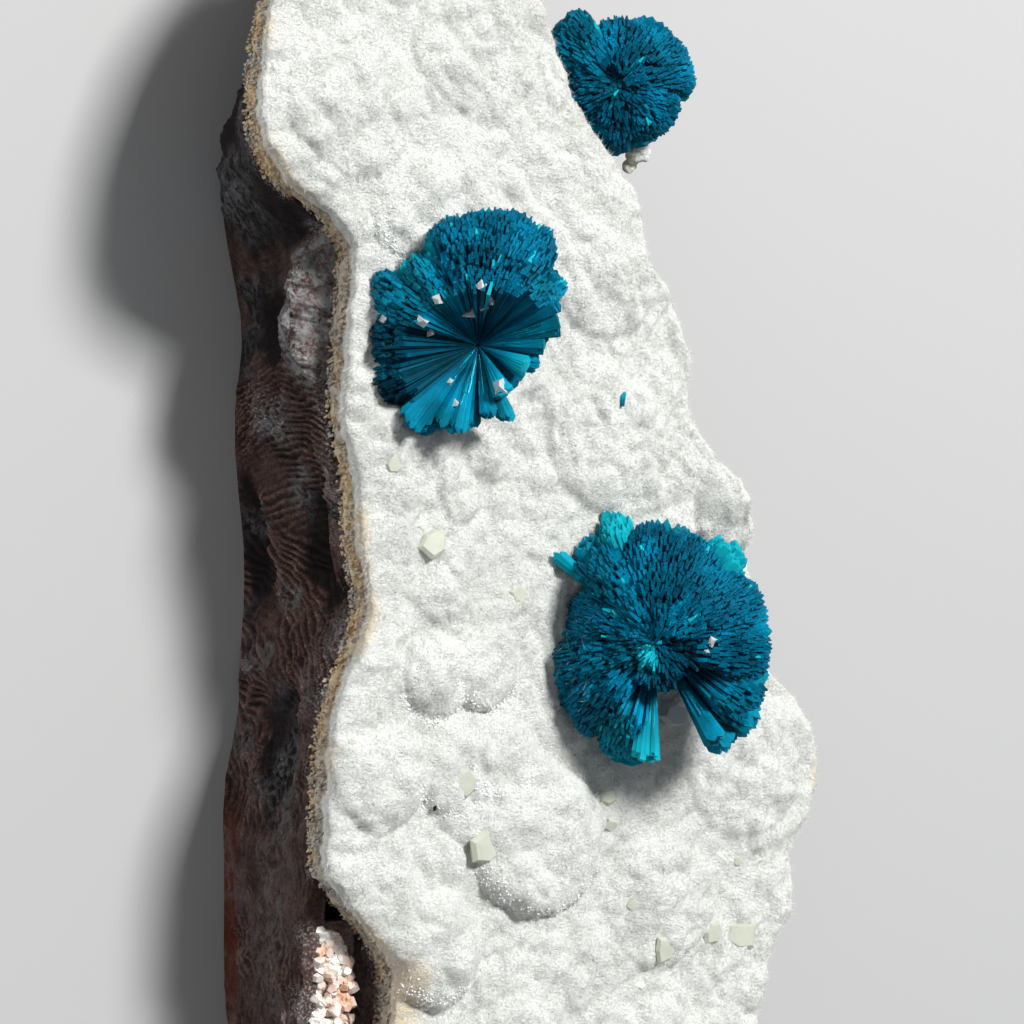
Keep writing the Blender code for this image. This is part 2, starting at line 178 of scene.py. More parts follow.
# Where a line straight down at x, y meets a surface, and that surface's way out.
def dropOnto(tree, x, y):
    place, normal = tree.ray_cast(Vector((x, y, 60.0)), Vector((0, 0, -1)))[:2]
    if place is None:
        return None, None
    return np.array(place), np.array(normal)


def gridFaces(rows, columns, start=0):
    at = np.arange(rows * columns).reshape(rows, columns) + start
    return np.stack((at[:-1, :-1], at[:-1, 1:], at[1:, 1:], at[1:, :-1]), axis=-1).reshape(-1, 4).tolist()


def ringFaces(rings, count, start=0):
    at = np.arange(rings * count).reshape(rings, count) + start
    after = np.roll(at, -1, axis=1)
    return np.stack((at[:-1], after[:-1], after[1:], at[1:]), axis=-1).reshape(-1, 4).tolist()


# The numbers of the points around a grid's edge, in order.
def gridEdge(rows, columns):
    at = np.arange(rows * columns).reshape(rows, columns)
    return np.concatenate((at[0, :-1], at[:-1, -1], at[-1, :0:-1], at[:0:-1, 0]))


# A wall between two closed rings of points, given by their numbers.
def wallFaces(lower, upper):
    return np.stack((lower, np.roll(lower, -1), np.roll(upper, -1), upper), axis=1).tolist()


# Points and faces of a ball.
def ballShape(subdivisions, radius):
    mesh = bmesh.new()
    bmesh.ops.create_icosphere(mesh, subdivisions=subdivisions, radius=radius)
    points = np.array([vertex.co for vertex in mesh.verts])
    faces = [[vertex.index for vertex in face.verts] for face in mesh.faces]
    mesh.free()
    return points, faces


# Several shapes as one set of points and faces.
def gather(shapes):
    points, faces, start = [], [], 0
    for shapePoints, shapeFaces in shapes:
        points.append(shapePoints)
        faces += [[k + start for k in face] for face in shapeFaces]
        start += len(shapePoints)
    return np.concatenate(points), faces


# Small tools for the materials.
def newMaterial(name, finish):
    material = bpy.data.materials.new(name)
    material.use_nodes = True
    shader = material.node_tree.nodes["Principled BSDF"]
    for socket, value in finish.items():
        shader.inputs[socket].default_value = value
    return material, material.node_tree, shader


def objectPoint(tree, stretch=(1, 1, 1)):
    where = tree.nodes.new("ShaderNodeTexCoord")
    if stretch == (1, 1, 1):
        return where.outputs["Object"]
    mapping = tree.nodes.new("ShaderNodeMapping")
    mapping.inputs["Scale"].default_value = stretch
    tree.links.new(where.outputs["Object"], mapping.inputs["Vector"])
    return mapping.outputs["Vector"]


# size is the width of one bump in millimetres.
def noiseNode(tree, point, size, detail=4.0, roughness=0.55, warp=0.0):
    node = tree.nodes.new("ShaderNodeTexNoise")
    node.inputs["Scale"].default_value = 1 / (size * mm)
    node.inputs["Detail"].default_value = detail
    node.inputs["Roughness"].default_value = roughness
    node.inputs["Distortion"].default_value = warp
    tree.links.new(point, node.inputs["Vector"])
    return node.outputs["Fac"]


# Colours or greys along a value. Each stop is its place and its colour.
def rampNode(tree, value, stops):
    node = tree.nodes.new("ShaderNodeValToRGB")
    tree.links.new(value, node.inputs["Fac"])
    while len(node.color_ramp.elements) < len(stops):
        node.color_ramp.elements.new(0.5)
    for element, (place, colour) in zip(node.color_ramp.elements, stops):
        element.position = place
        element.color = (colour, colour, colour, 1) if isinstance(colour, float) else (*colour, 1)
    return node.outputs["Color"]


# A share of the second colour over the first.
def mixNode(tree, share, first, second, way="MIX"):
    node = tree.nodes.new("ShaderNodeMix")
    node.data_type = "RGBA"
    node.blend_type = way
    for socket, value in ((node.inputs["Factor"], share), (node.inputs[6], first), (node.inputs[7], second)):
        if isinstance(value, bpy.types.NodeSocket):
            tree.links.new(value, socket)
        elif isinstance(value, (int, float)):
            socket.default_value = value
        else:
            socket.default_value = (*value, 1)
    return node.outputs[2]


# A colour made darker by a grey.
def darkenNode(tree, colour, grey):
    return mixNode(tree, 1.0, colour, grey, "MULTIPLY")


def mathNode(tree, way, first, second):
    node = tree.nodes.new("ShaderNodeMath")
    node.operation = way
    for socket, value in ((node.inputs[0], first), (node.inputs[1], second)):
        if isinstance(value, bpy.types.NodeSocket):
            tree.links.new(value, socket)
        else:
            socket.default_value = value
    return node.outputs[0]


# The numbers that a piece carries under this label.
def markNode(tree, label):
    node = tree.nodes.new("ShaderNodeAttribute")
    node.attribute_name = label
    return node.outputs["Fac"]


# depth is the height of the bumps in millimetres.
def bumpNode(tree, height, depth, strength=1.0, before=None):
    node = tree.nodes.new("ShaderNodeBump")
    node.inputs["Strength"].default_value = strength
    node.inputs["Distance"].default_value = depth * mm
    tree.links.new(height, node.inputs["Height"])
    if before:
        tree.links.new(before, node.inputs["Normal"])
    return node.outputs["Normal"]


# The slab's outline, read from the solids: where each layer's left and right edges run.
slabValues = dict(
    seamHeight=10.9,  # where the dark rock ends, at x = 0
    seamFall=0.10,  # and how much lower that is for each millimetre to the right
    endBulge=1.6,
    endMargin=0.4,
    samples=400,
    bayY=25.4,  # where the crust's right edge draws back a little, under the upper rosette
    bayReach=4.5,
    bayDepth=0.8,
)
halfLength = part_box("mordenite_crust")[1].y / mm


def seamAt(x):
    return slabValues["seamHeight"] - slabValues["seamFall"] * x


# x of a solid's left and right edge all along the slab, at a height above the seam.
def readEdges(nodeName, lift, flat=None):
    tree = treeOf(nodeName)
    end = halfLength - slabValues["endMargin"]
    ys = np.linspace(-end, end, slabValues["samples"])
    edges = []
    for side in (-1, 1):
        found, x = [], side * 10.0
        for y in ys:
            for _ in range(3):  # the seam slopes, so the height follows the edge that was found
                z = flat if flat is not None else seamAt(x) + lift
                hit = tree.ray_cast(Vector((side * 60.0, y, z)), Vector((-side, 0, 0)))[0]
                if hit:
                    x = hit.x
            found.append(x)
        edges.append(np.array(found))
    return ys, edges[0], edges[1]


crustEdges = readEdges("mordenite_crust", 1.25)
bay = slabValues["bayDepth"] * np.exp(-(((crustEdges[0] - slabValues["bayY"]) / slabValues["bayReach"]) ** 2))
crustEdges[2][:] -= bay
rockRims = readEdges("basalt_matrix", -0.12)
rockFeet = readEdges("basalt_matrix", 0.0, flat=0.1)


# Where shares across and along the slab fall, with softly bulging ends.
def planAt(edges, across, along):
    ys, left, right = edges
    bulge = slabValues["endBulge"] * (1 - (2 * across - 1) ** 2) - slabValues["endBulge"]
    y = blend(-halfLength - bulge, halfLength + bulge, along)
    return blend(np.interp(y, ys, left), np.interp(y, ys, right), across), y


# Shares across and along, anticlockwise from the lower left, and the way out at each place.
def aroundSlab(values):
    sides = [values[name] for name in ("lowerColumns", "rightColumns", "upperColumns", "leftColumns")]
    lower, right, upper, left = [np.linspace(0, 1, count, endpoint=False) for count in sides]
    across = np.concatenate((lower, np.ones(len(right)), 1 - upper, np.zeros(len(left))))
    along = np.concatenate((np.zeros(len(lower)), right, np.ones(len(upper)), 1 - left))
    outward = unit(np.stack((across - 0.5, (along - 0.5) * 0.6, 0 * along), axis=1))
    return across, along, outward


print("outline read")


# White mordenite crust: a lumpy, wrinkled felt.
crustValues = dict(
    columns=206,
    rows=424,
    edgeCrowding=0.4,  # how much closer the columns stand at the two long edges
    base=0.97,  # height of the crust's underside over the seam
    lip=0.25,  # how far the wall reaches below that
    wallLevels=(0.0, 0.33, 0.66),
    thickness=2.1,
    rimThickness=1.75,
    rimRounding=0.9,
    overhang=0.6,  # how far the felt hangs over its own edge on the left
    ragged=0.16,
    swell=0.35,
    smallLumps=210,
    smallLumpRadius=(0.6, 1.7),
    smallLumpHeight=(0.08, 0.34),
    wrinkleDepth=0.26,
    wrinkleSpacing=0.95,
    puffs=((2.6, 0.55), (1.3, 0.42), (0.75, 0.22)),  # width and height of the felt's puffs
    grainDepth=0.06,
    white=(0.89, 0.90, 0.85),
    shade=(0.78, 0.79, 0.74),
    stain=(0.80, 0.61, 0.36),
    stainFrom=-25.0,  # the lower left edge is stained below this y
    stainPatch=-16.2,  # and the right edge around this one
    cloudSize=3.2,
    speckSize=0.17,
    strandSize=0.22,
    bumpDepth=0.24,
    finish={"Roughness": 0.93, "Specular IOR Level": 0.3, "Sheen Weight": 0.25, "Sheen Roughness": 0.5},
)
# Round lumps: x, y, radius, height, and how much longer than wide each is.
crustLumps = (
    (-10.6, 18.0, 3.3, 0.9, 1.0),
    (-8.8, -5.0, 2.0, 0.7, 1.1),
    (-9.3, -9.9, 2.5, 1.1, 1.0),
    (-6.0, -9.2, 2.5, 1.2, 1.0),
    (-8.6, -15.2, 2.6, 1.0, 1.0),
    (-5.4, -14.2, 2.4, 0.8, 1.0),
    (-13.2, -15.4, 3.0, 1.2, 1.0),
    (-2.2, -19.4, 4.6, 2.1, 1.0),
    (-9.4, -25.4, 3.1, 1.7, 1.2),
    (-7.0, -17.4, 2.2, 0.8, 1.0),
    (7.2, -23.6, 4.0, 0.8, 1.0),
    (13.6, -15.4, 4.6, 0.8, 1.0),
    (12.6, 0.2, 3.2, 1.5, 1.0),
    (2.6, 15.0, 4.2, 0.9, 1.0),
    (-15.2, 24.0, 4.6, 0.9, 1.0),
    (-6.6, 27.4, 4.2, 0.8, 1.0),
    (-11.0, 3.2, 3.6, 0.6, 1.0),
    (3.4, 5.0, 4.8, 0.7, 1.0),
    (-11.6, 33.4, 3.6, 1.0, 1.0),
    (-4.0, -33.4, 4.4, 1.2, 1.0),
    (6.6, -33.0, 3.8, 1.0, 1.0),
)


# Height of the highest lump over each point: small domes with a crease at their foot.
def lumpRise(x, y):
    values = crustValues
    flat = np.stack((x, y, np.zeros_like(x)), axis=1)
    warpX = x + 0.5 * smoothNoise(flat, 2.4, 3) + 0.15 * smoothNoise(flat, 0.8, 5)
    warpY = y + 0.5 * smoothNoise(flat, 2.4, 4) + 0.15 * smoothNoise(flat, 0.8, 6)
    rise = np.zeros_like(x)
    for lumpX, lumpY, radius, height, longer in crustLumps:
        away = np.hypot(warpX - lumpX, (warpY - lumpY) / longer) / radius
        rise = np.maximum(rise, height * np.sqrt(np.clip(1 - away**2, 0, 1)))
    random = np.random.default_rng(11)
    small = np.zeros_like(x)
    for _ in range(values["smallLumps"]):
        lumpX, lumpY = random.uniform(-21, 20), random.uniform(-40, 40)
        radius = random.uniform(*values["smallLumpRadius"])
        height = random.uniform(*values["smallLumpHeight"])
        near = np.abs(warpY - lumpY) < radius
        away = np.hypot(warpX[near] - lumpX, warpY[near] - lumpY) / radius
        small[near] = np.maximum(small[near], height * np.sqrt(np.clip(1 - away**2, 0, 1)))
    return rise + small


# Height of the crust's face at x, y. inset is how far each place lies inside the rim.
def crustHeight(x, y, inset):
    values = crustValues
    flat = np.stack((x, y, np.zeros_like(x)), axis=1)
    share = np.clip(inset / values["rimRounding"], 0, 1)
    rounding = np.sqrt(1 - (1 - share) ** 2)
    body = blend(values["rimThickness"], values["thickness"], rounding)
    body = body + (values["swell"] * smoothNoise(flat, 4.5, 8) + lumpRise(x, y)) * rounding
    warp = 0.9 * smoothNoise(flat, 2.7, 20) + 0.35 * smoothNoise(flat, 1.0, 21)
    bend = 0.9 * smoothNoise(flat, 2.4, 22)
    folds = np.stack((x * 0.90 - y * 0.42 + warp, (x * 0.42 + y * 0.90 + bend) / 2.2, 0 * x), axis=1)
    fold = 1 - 1.6 * np.abs(smoothNoise(folds, values["wrinkleSpacing"], 24))
    where = smoothStep(-0.5, 0.35, smoothNoise(flat, 3.4, 23) + 0.02 * (x - 4))
    relief = values["wrinkleDepth"] * fold * where + values["grainDepth"] * layeredNoise(flat, 0.5, 2, 30)
    for number, (width, height) in enumerate(values["puffs"]):
        relief = relief + height * (np.abs(smoothNoise(flat + 9.3 * number, width, 33 + number)) - 0.25)
    return seamAt(x) + values["base"] + body + relief * (0.35 + 0.65 * rounding)


def crustMaterial():
    values = crustValues
    material, tree, shader = newMaterial("white mordenite felt", values["finish"])
    point = objectPoint(tree)
    cloud = noiseNode(tree, point, values["cloudSize"], 5.0, 0.6)
    fine = noiseNode(tree, point, values["speckSize"], 5.0, 0.62, 0.4)
    tint = rampNode(tree, cloud, ((0.36, values["shade"]), (0.58, values["white"])))
    speck = rampNode(tree, fine, ((0.32, 0.70), (0.52, 1.0)))
    tint = darkenNode(tree, tint, speck)
    patchy = rampNode(tree, fine, ((0.35, 0.2), (0.6, 1.0)))
    stained = mathNode(tree, "MULTIPLY", markNode(tree, "stain"), patchy)
    tree.links.new(mixNode(tree, stained, tint, values["stain"]), shader.inputs["Base Color"])
    strands = noiseNode(tree, objectPoint(tree, (1.0, 1.3, 1.2)), values["strandSize"], 5.0, 0.72, 0.9)
    tree.links.new(bumpNode(tree, strands, values["bumpDepth"]), shader.inputs["Normal"])
    return material


# The crust's face as a fine grid, its rim as a wall, and a flat underside.
# The fibres need the face and the wall as rows of points, and the crystals need the face as a search tree.
def makeCrust():
    values = crustValues
    columns, rows = values["columns"], values["rows"]
    even = np.linspace(0, 1, columns + 1)
    across = blend(even, 0.5 - 0.5 * np.cos(np.pi * even), values["edgeCrowding"])
    shares = np.meshgrid(across, np.linspace(0, 1, rows + 1))
    across, along = shares[0].ravel(), shares[1].ravel()
    x, y = planAt(crustEdges, across, along)
    ys, left, right = crustEdges
    inset = np.minimum(x - np.interp(y, ys, left), np.interp(y, ys, right) - x)
    inset = np.minimum(inset, along * 2 * halfLength)
    inset = np.minimum(inset, (1 - along) * 2 * halfLength)
    face = np.stack((x, y, crustHeight(x, y, np.clip(inset, 0, None))), axis=1)
    ragged = values["ragged"] * layeredNoise(face, 0.9, 3, 41)
    middle = np.interp(y, ys, (left + right) / 2)
    outward = unit(np.stack((x - middle, 0 * x, 0 * x), axis=1))
    near = 1 - smoothStep(0.0, 1.2, inset)
    leftSide = smoothStep(2.0, -6.0, x)
    face += outward * ((ragged + values["overhang"] * leftSide) * near)[:, None]
    around = gridEdge(rows + 1, columns + 1)
    rim = face[around]
    floor = seamAt(rim[:, 0]) + values["base"] - values["lip"]
    rings = []
    for level in values["wallLevels"]:
        ring = rim.copy()
        ring[:, 2] = blend(floor, rim[:, 2], level)
        swell = 0.12 * math.sin(math.pi * level) + 0.1 * smoothNoise(ring, 0.5, 43)
        swell = swell - values["overhang"] * leftSide[around] * (1 - level) ** 0.5 / (0.3 + level)
        ring += outward[around] * swell[:, None] * (0.3 + level)
        rings.append(ring)
    points = np.concatenate([face] + rings)
    count, start = len(around), len(face)
    faces = gridFaces(rows + 1, columns + 1) + ringFaces(len(rings), count, start)
    faces += wallFaces(np.arange(count) + start + (len(rings) - 1) * count, around)
    faces.append(list(range(start + count - 1, start - 1, -1)))
    stain = (1 - smoothStep(0.0, 0.5, inset)) * smoothStep(-0.25, 0.5, smoothNoise(face, 2.6, 44))
    stain = stain * (0.15 + 0.85 * leftSide)
    lowerLeft = leftSide * smoothStep(values["stainFrom"], values["stainFrom"] - 2.0, y)
    lowerLeft = lowerLeft * (1 - smoothStep(0.2, 1.6, inset))
    rightPatch = (1 - leftSide) * smoothStep(1.7, 0.5, np.abs(y - values["stainPatch"]))
    rightPatch = rightPatch * (1 - smoothStep(0.2, 0.9, inset))
    stain = np.clip(np.maximum(stain, np.maximum(lowerLeft, rightPatch)), 0, 1)
    marks = {"stain": np.concatenate([stain] + [np.clip(0.25 + stain[around], 0, 1)] * len(rings))}
    makePiece("mordeniteCrust", points, faces, feltSkin, "mordenite", ("mordenite_crust",), marks=marks)
    tree = BVHTree.FromPolygons(face.tolist(), gridFaces(rows + 1, columns + 1))
    return face.reshape(rows + 1, columns + 1, 3), np.stack(rings[1:] + [rim]), tree


feltSkin = crustMaterial()
crustFace, crustWall, crustTree = makeCrust()
print("crust made")


# The crust's felt: short loose fibres that stand and lie all over its face.
fibreValues = dict(
    pieces=2,
    perPiece=37000,
    onRim=12000,
    length=(0.20, 0.52),
    thickness=0.032,
    lift=(0.10, 0.8),
    rootDepth=0.05,
    white=(0.90, 0.91, 0.86),
    shade=(0.774, 0.7826, 0.7396),
    finish={"Roughness": 0.6, "Specular IOR Level": 0.35},
)


def fibreMaterial():
    values = fibreValues
    material, tree, shader = newMaterial("mordenite fibres", values["finish"])
    tone = noiseNode(tree, objectPoint(tree), 1.4, 3.0)
    white = rampNode(tree, tone, ((0.35, values["shade"]), (0.6, values["white"])))
    tree.links.new(white, shader.inputs["Base Color"])
    return material


# A thin four-faced spike from each root to its tip.
def makeSpikes(roots, tips, thickness):
    along = unit(tips - roots)
    helper = np.where(np.abs(along[:, 2:3]) < 0.9, (0.0, 0.0, 1.0), (1.0, 0.0, 0.0))
    sideways = unit(np.cross(along, helper))
    other = np.cross(along, sideways)
    half = thickness / 2
    corners = [roots + half * (math.cos(a) * sideways + math.sin(a) * other) for a in (0.5, 2.6, 4.7)]
    points = np.stack(corners + [tips], axis=1).reshape(-1, 3)
    at = (np.arange(len(roots)) * 4)[:, None]
    sides = np.array(((0, 1, 3), (1, 2, 3), (2, 0, 3), (0, 2, 1)))
    return points, (at[:, :, None] + sides[None]).reshape(-1, 3).tolist()


# Fibres rooted all over a surface, given as rows and columns of points.
def makeFibres(name, surface, count, seed, material):
    values = fibreValues
    random = np.random.default_rng(seed)
    row = random.integers(0, surface.shape[0] - 1, count)
    column = random.integers(0, surface.shape[1] - 1, count)
    u, v = random.random((2, count, 1))
    a, b = surface[row, column], surface[row, column + 1]
    c, d = surface[row + 1, column], surface[row + 1, column + 1]
    roots = blend(blend(a, b, u), blend(c, d, u), v)
    normal = unit(np.cross(b - a, c - a))
    angle = 2.6 * smoothNoise(roots, 1.3, 51) + 2.2 * random.normal(size=count)
    lying = np.stack((np.cos(angle), np.sin(angle), 0 * angle), axis=1)
    lift = random.uniform(*values["lift"], (count, 1))
    length = random.uniform(*values["length"], (count, 1))
    aim = unit(normal * lift + unit(lying - normal * np.sum(lying * normal, axis=1, keepdims=True)))
    roots, tips = roots - normal * values["rootDepth"], roots + aim * length
    points, faces = makeSpikes(roots, tips, values["thickness"])
    makePiece(name, points, faces, material, "mordenite", smooth=False)


fibreSkin = fibreMaterial()
for piece in range(fibreValues["pieces"]):
    makeFibres(f"crustFibres{piece + 1}", crustFace, fibreValues["perPiece"], 100 + piece, fibreSkin)
makeFibres("rimFibres", crustWall, fibreValues["onRim"], 120, fibreSkin)
print("fibres made")


# Glassy beads along the lower edges of the crust's lumps, where the felt curls under.
beadValues = dict(
    lumps=(0, 2, 3, 4, 5, 7, 8),
    perMillimetre=24,
    size=(0.03, 0.08),
    start=195.0,  # degrees around each lump, from its right and anticlockwise
    end=345.0,
    spread=0.24,
    finish={"Base Color": (0.90, 0.91, 0.91, 1), "Roughness": 0.15},
)


def makeBeads():
    values = beadValues
    random = np.random.default_rng(150)
    ball, ballFaces = ballShape(1, 1.0)
    beads = []
    for number in values["lumps"]:
        lumpX, lumpY, radius = crustLumps[number][:3]
        arc = math.radians(values["end"] - values["start"]) * radius
        count = int(arc * values["perMillimetre"])
        for angle in np.radians(random.uniform(values["start"], values["end"], count)):
            reach = radius + random.normal(0, values["spread"])
            place = dropOnto(crustTree, lumpX + reach * math.cos(angle), lumpY + reach * math.sin(angle))[0]
            if place is not None:
                beads.append((ball * random.uniform(*values["size"]) + place, ballFaces))
    skin = newMaterial("glassy felt beads", values["finish"])[0]
    makePiece("crustBeads", *gather(beads), skin, "mordenite", smooth=False)


makeBeads()
print("beads made")


# Dark basalt: a broken side with curved ridges whose troughs are painted darker as shade, hollows painted
# near black as shade, grey smears and bright specks.
rockValues = dict(
    lowerColumns=110,
    rightColumns=200,
    upperColumns=60,
    leftColumns=620,
    rows=72,
    ledgeRows=8,
    sideHeight=12.0,  # about how high the side is
    bellySwell=1.8,  # the side swells out here, near the upper end
    bellyY=19.5,
    bellyReach=5.0,
    lipDepth=3.6,
    lipInset=0.8,
    ledgeY=11.3,  # a grey ledge stands out under the crust's bay
    ledgeReach=4.3,
    ledgeWidth=2.3,
    ledgeDrop=0.5,
    ledgeRough=0.35,
    ridgeDepth=0.42,
    ridgeSpacing=0.55,
    roughDepth=0.55,
    grainDepth=0.14,
    # Painted shade: above the next y the upper end of the side is painted near black, as the shade under the
    # crust's overhang.
    shadedFrom=15.0,  # the upper end of the side is dark above this y
    redFrom=-17.0,  # and its foot is reddish below this one
    patchSize=2.0,
    grainSize=0.30,
    dustSize=0.15,
    smearSize=0.55,
    speckSize=0.17,
    grainBump=0.34,
    dustBump=0.12,
    brown=(0.330, 0.175, 0.150),
    lightBrown=(0.78, 0.470, 0.400),
    red=(0.34, 0.075, 0.035),
    # The black is painted shade, for the hollows and the upper end of the side.
    shadeBlack=(0.014, 0.012, 0.016),
    dust=(0.44, 0.29, 0.24),
    grey=(0.72, 0.73, 0.76),
    speck=(0.72, 0.71, 0.66),
    finish={"Roughness": 0.82, "Specular IOR Level": 0.25},
)
# Hollows in the left side, pushed in and painted near black as shade: y, share of the height, reach along,
# reach up, depth.
rockHollows = (
    (-1.8, 0.72, 3.4, 0.22, 1.5),
    (-14.5, 0.50, 3.6, 0.24, 1.2),
    (-2.6, 0.10, 4.4, 0.13, 1.0),
    (20.0, 0.50, 5.0, 0.5, 0.6),
    (11.5, 0.25, 3.6, 0.25, 0.5),
)
# Where the side is mottled grey and white: y, share of the height, reach along, reach up, strength.
rockSmears = (
    (11.4, 0.97, 4.2, 0.13, 1.5),
    (5.6, 0.42, 1.5, 0.20, 0.9),
    (1.6, 0.55, 1.6, 0.08, 0.7),
    (-6.9, 0.90, 1.1, 0.14, 1.0),
    (-5.3, 0.38, 0.9, 0.12, 0.7),
    (18.5, 0.35, 2.4, 0.3, 0.5),
    (-15.5, 0.62, 3.0, 0.25, 0.4),
    (-25.0, 0.60, 7.0, 0.22, 0.30),
    (-9.3, 0.10, 0.8, 0.1, 0.5),
)
# Where bright grains crowd under the rim: the same five numbers.
rockGranules = (
    (0.3, 0.92, 3.4, 0.10, 1.0),
    (11.0, 0.9, 3.6, 0.12, 0.8),
)


# The strongest of several soft oval spots at each place.
def spots(table, y, climb):
    total = np.zeros_like(y)
    place = np.stack((climb * rockValues["sideHeight"], y, 0 * y), axis=1)
    shift, lift = 0.45 * smoothNoise(place, 2.0, 86), 0.45 * smoothNoise(place, 2.0, 87)
    for spotY, spotClimb, reachY, reachClimb, strength in table:
        away = ((y - spotY) / reachY + shift) ** 2 + ((climb - spotClimb) / reachClimb + lift) ** 2
        total = np.maximum(total, strength * np.exp(-(away**1.5)))
    return total


# Curved ridges on the broken side: flat arcs above, slanting in the middle, and steep at the lower end. The
# same field shapes the ridges and paints shade in their troughs.
def ridgeField(y, climb):
    values = rockValues
    height = climb * values["sideHeight"]
    place = np.stack((height * 0.9, y, 0 * y), axis=1)
    wobble = 0.75 * smoothNoise(place, 2.9, 61) + 0.34 * smoothNoise(place, 1.0, 62)
    arcs = y * 1.25 + 0.045 * (height - 7.5) ** 2
    slants = y * 0.80 + height * 0.62 + 0.012 * height**2
    steep = height * 1.0 + y * 0.30
    lower = smoothStep(-11.5, -14.5, y)
    middle = smoothStep(0.5, -2.5, y) * (1 - lower)
    upper = 1 - lower - middle
    total = np.zeros_like(y)
    for distance, weight in ((arcs, upper), (slants, middle), (steep, lower)):
        phase = (distance + wobble) / values["ridgeSpacing"]
        phase = phase - np.floor(phase)
        ridgeAndShade = np.minimum(phase / 0.7, (1 - phase) / 0.3)
        total += weight * ridgeAndShade
    patchy = 0.15 + 0.85 * smoothStep(-0.35, 0.35, smoothNoise(place, 2.8, 64) + 0.15)
    return blend(0.5, total, patchy * (1 - 0.8 * smoothStep(6.5, 10.0, y)))


def rockMaterial():
    values = rockValues
    material, tree, shader = newMaterial("dark ridged basalt", values["finish"])
    point = objectPoint(tree)
    patch = noiseNode(tree, point, values["patchSize"], 6.0, 0.62)
    grain = noiseNode(tree, point, values["grainSize"], 6.0, 0.72)
    dust = noiseNode(tree, point, values["dustSize"], 5.0, 0.7)
    body = rampNode(tree, patch, ((0.36, values["brown"]), (0.62, values["lightBrown"])))
    # Painted shade: the ridges' troughs are darkened, their crests left at the full colour.
    ridgeAndShade = rampNode(tree, markNode(tree, "ridgeAndShade"), ((0.0, 0.06), (0.45, 0.34), (0.80, 1.0)))
    body = darkenNode(tree, body, ridgeAndShade)
    body = darkenNode(tree, body, rampNode(tree, grain, ((0.32, 0.30), (0.62, 1.0))))
    body = mixNode(tree, rampNode(tree, dust, ((0.55, 0.0), (0.68, 0.6))), body, values["dust"])
    body = mixNode(tree, markNode(tree, "reddish"), body, values["red"])
    # Painted shade: the hollows and the upper end are mixed towards black.
    body = mixNode(tree, mathNode(tree, "MULTIPLY", markNode(tree, "dark"), 0.88), body, values["shadeBlack"])
    smear = noiseNode(tree, objectPoint(tree, (1.0, 0.6, 1.0)), values["smearSize"], 6.0, 0.75, 0.5)
    smear = rampNode(tree, smear, ((0.43, 0.0), (0.57, 1.0)))
    body = mixNode(tree, mathNode(tree, "MULTIPLY", smear, markNode(tree, "smear")), body, values["grey"])
    speck = noiseNode(tree, point, values["speckSize"], 3.0, 0.6)
    speck = rampNode(tree, speck, ((0.52, 0.0), (0.60, 1.0)))
    body = mixNode(tree, mathNode(tree, "MULTIPLY", speck, markNode(tree, "sparkle")), body, values["speck"])
    tree.links.new(body, shader.inputs["Base Color"])
    normal = bumpNode(tree, grain, values["grainBump"])
    tree.links.new(bumpNode(tree, dust, values["dustBump"], before=normal), shader.inputs["Normal"])
    return material


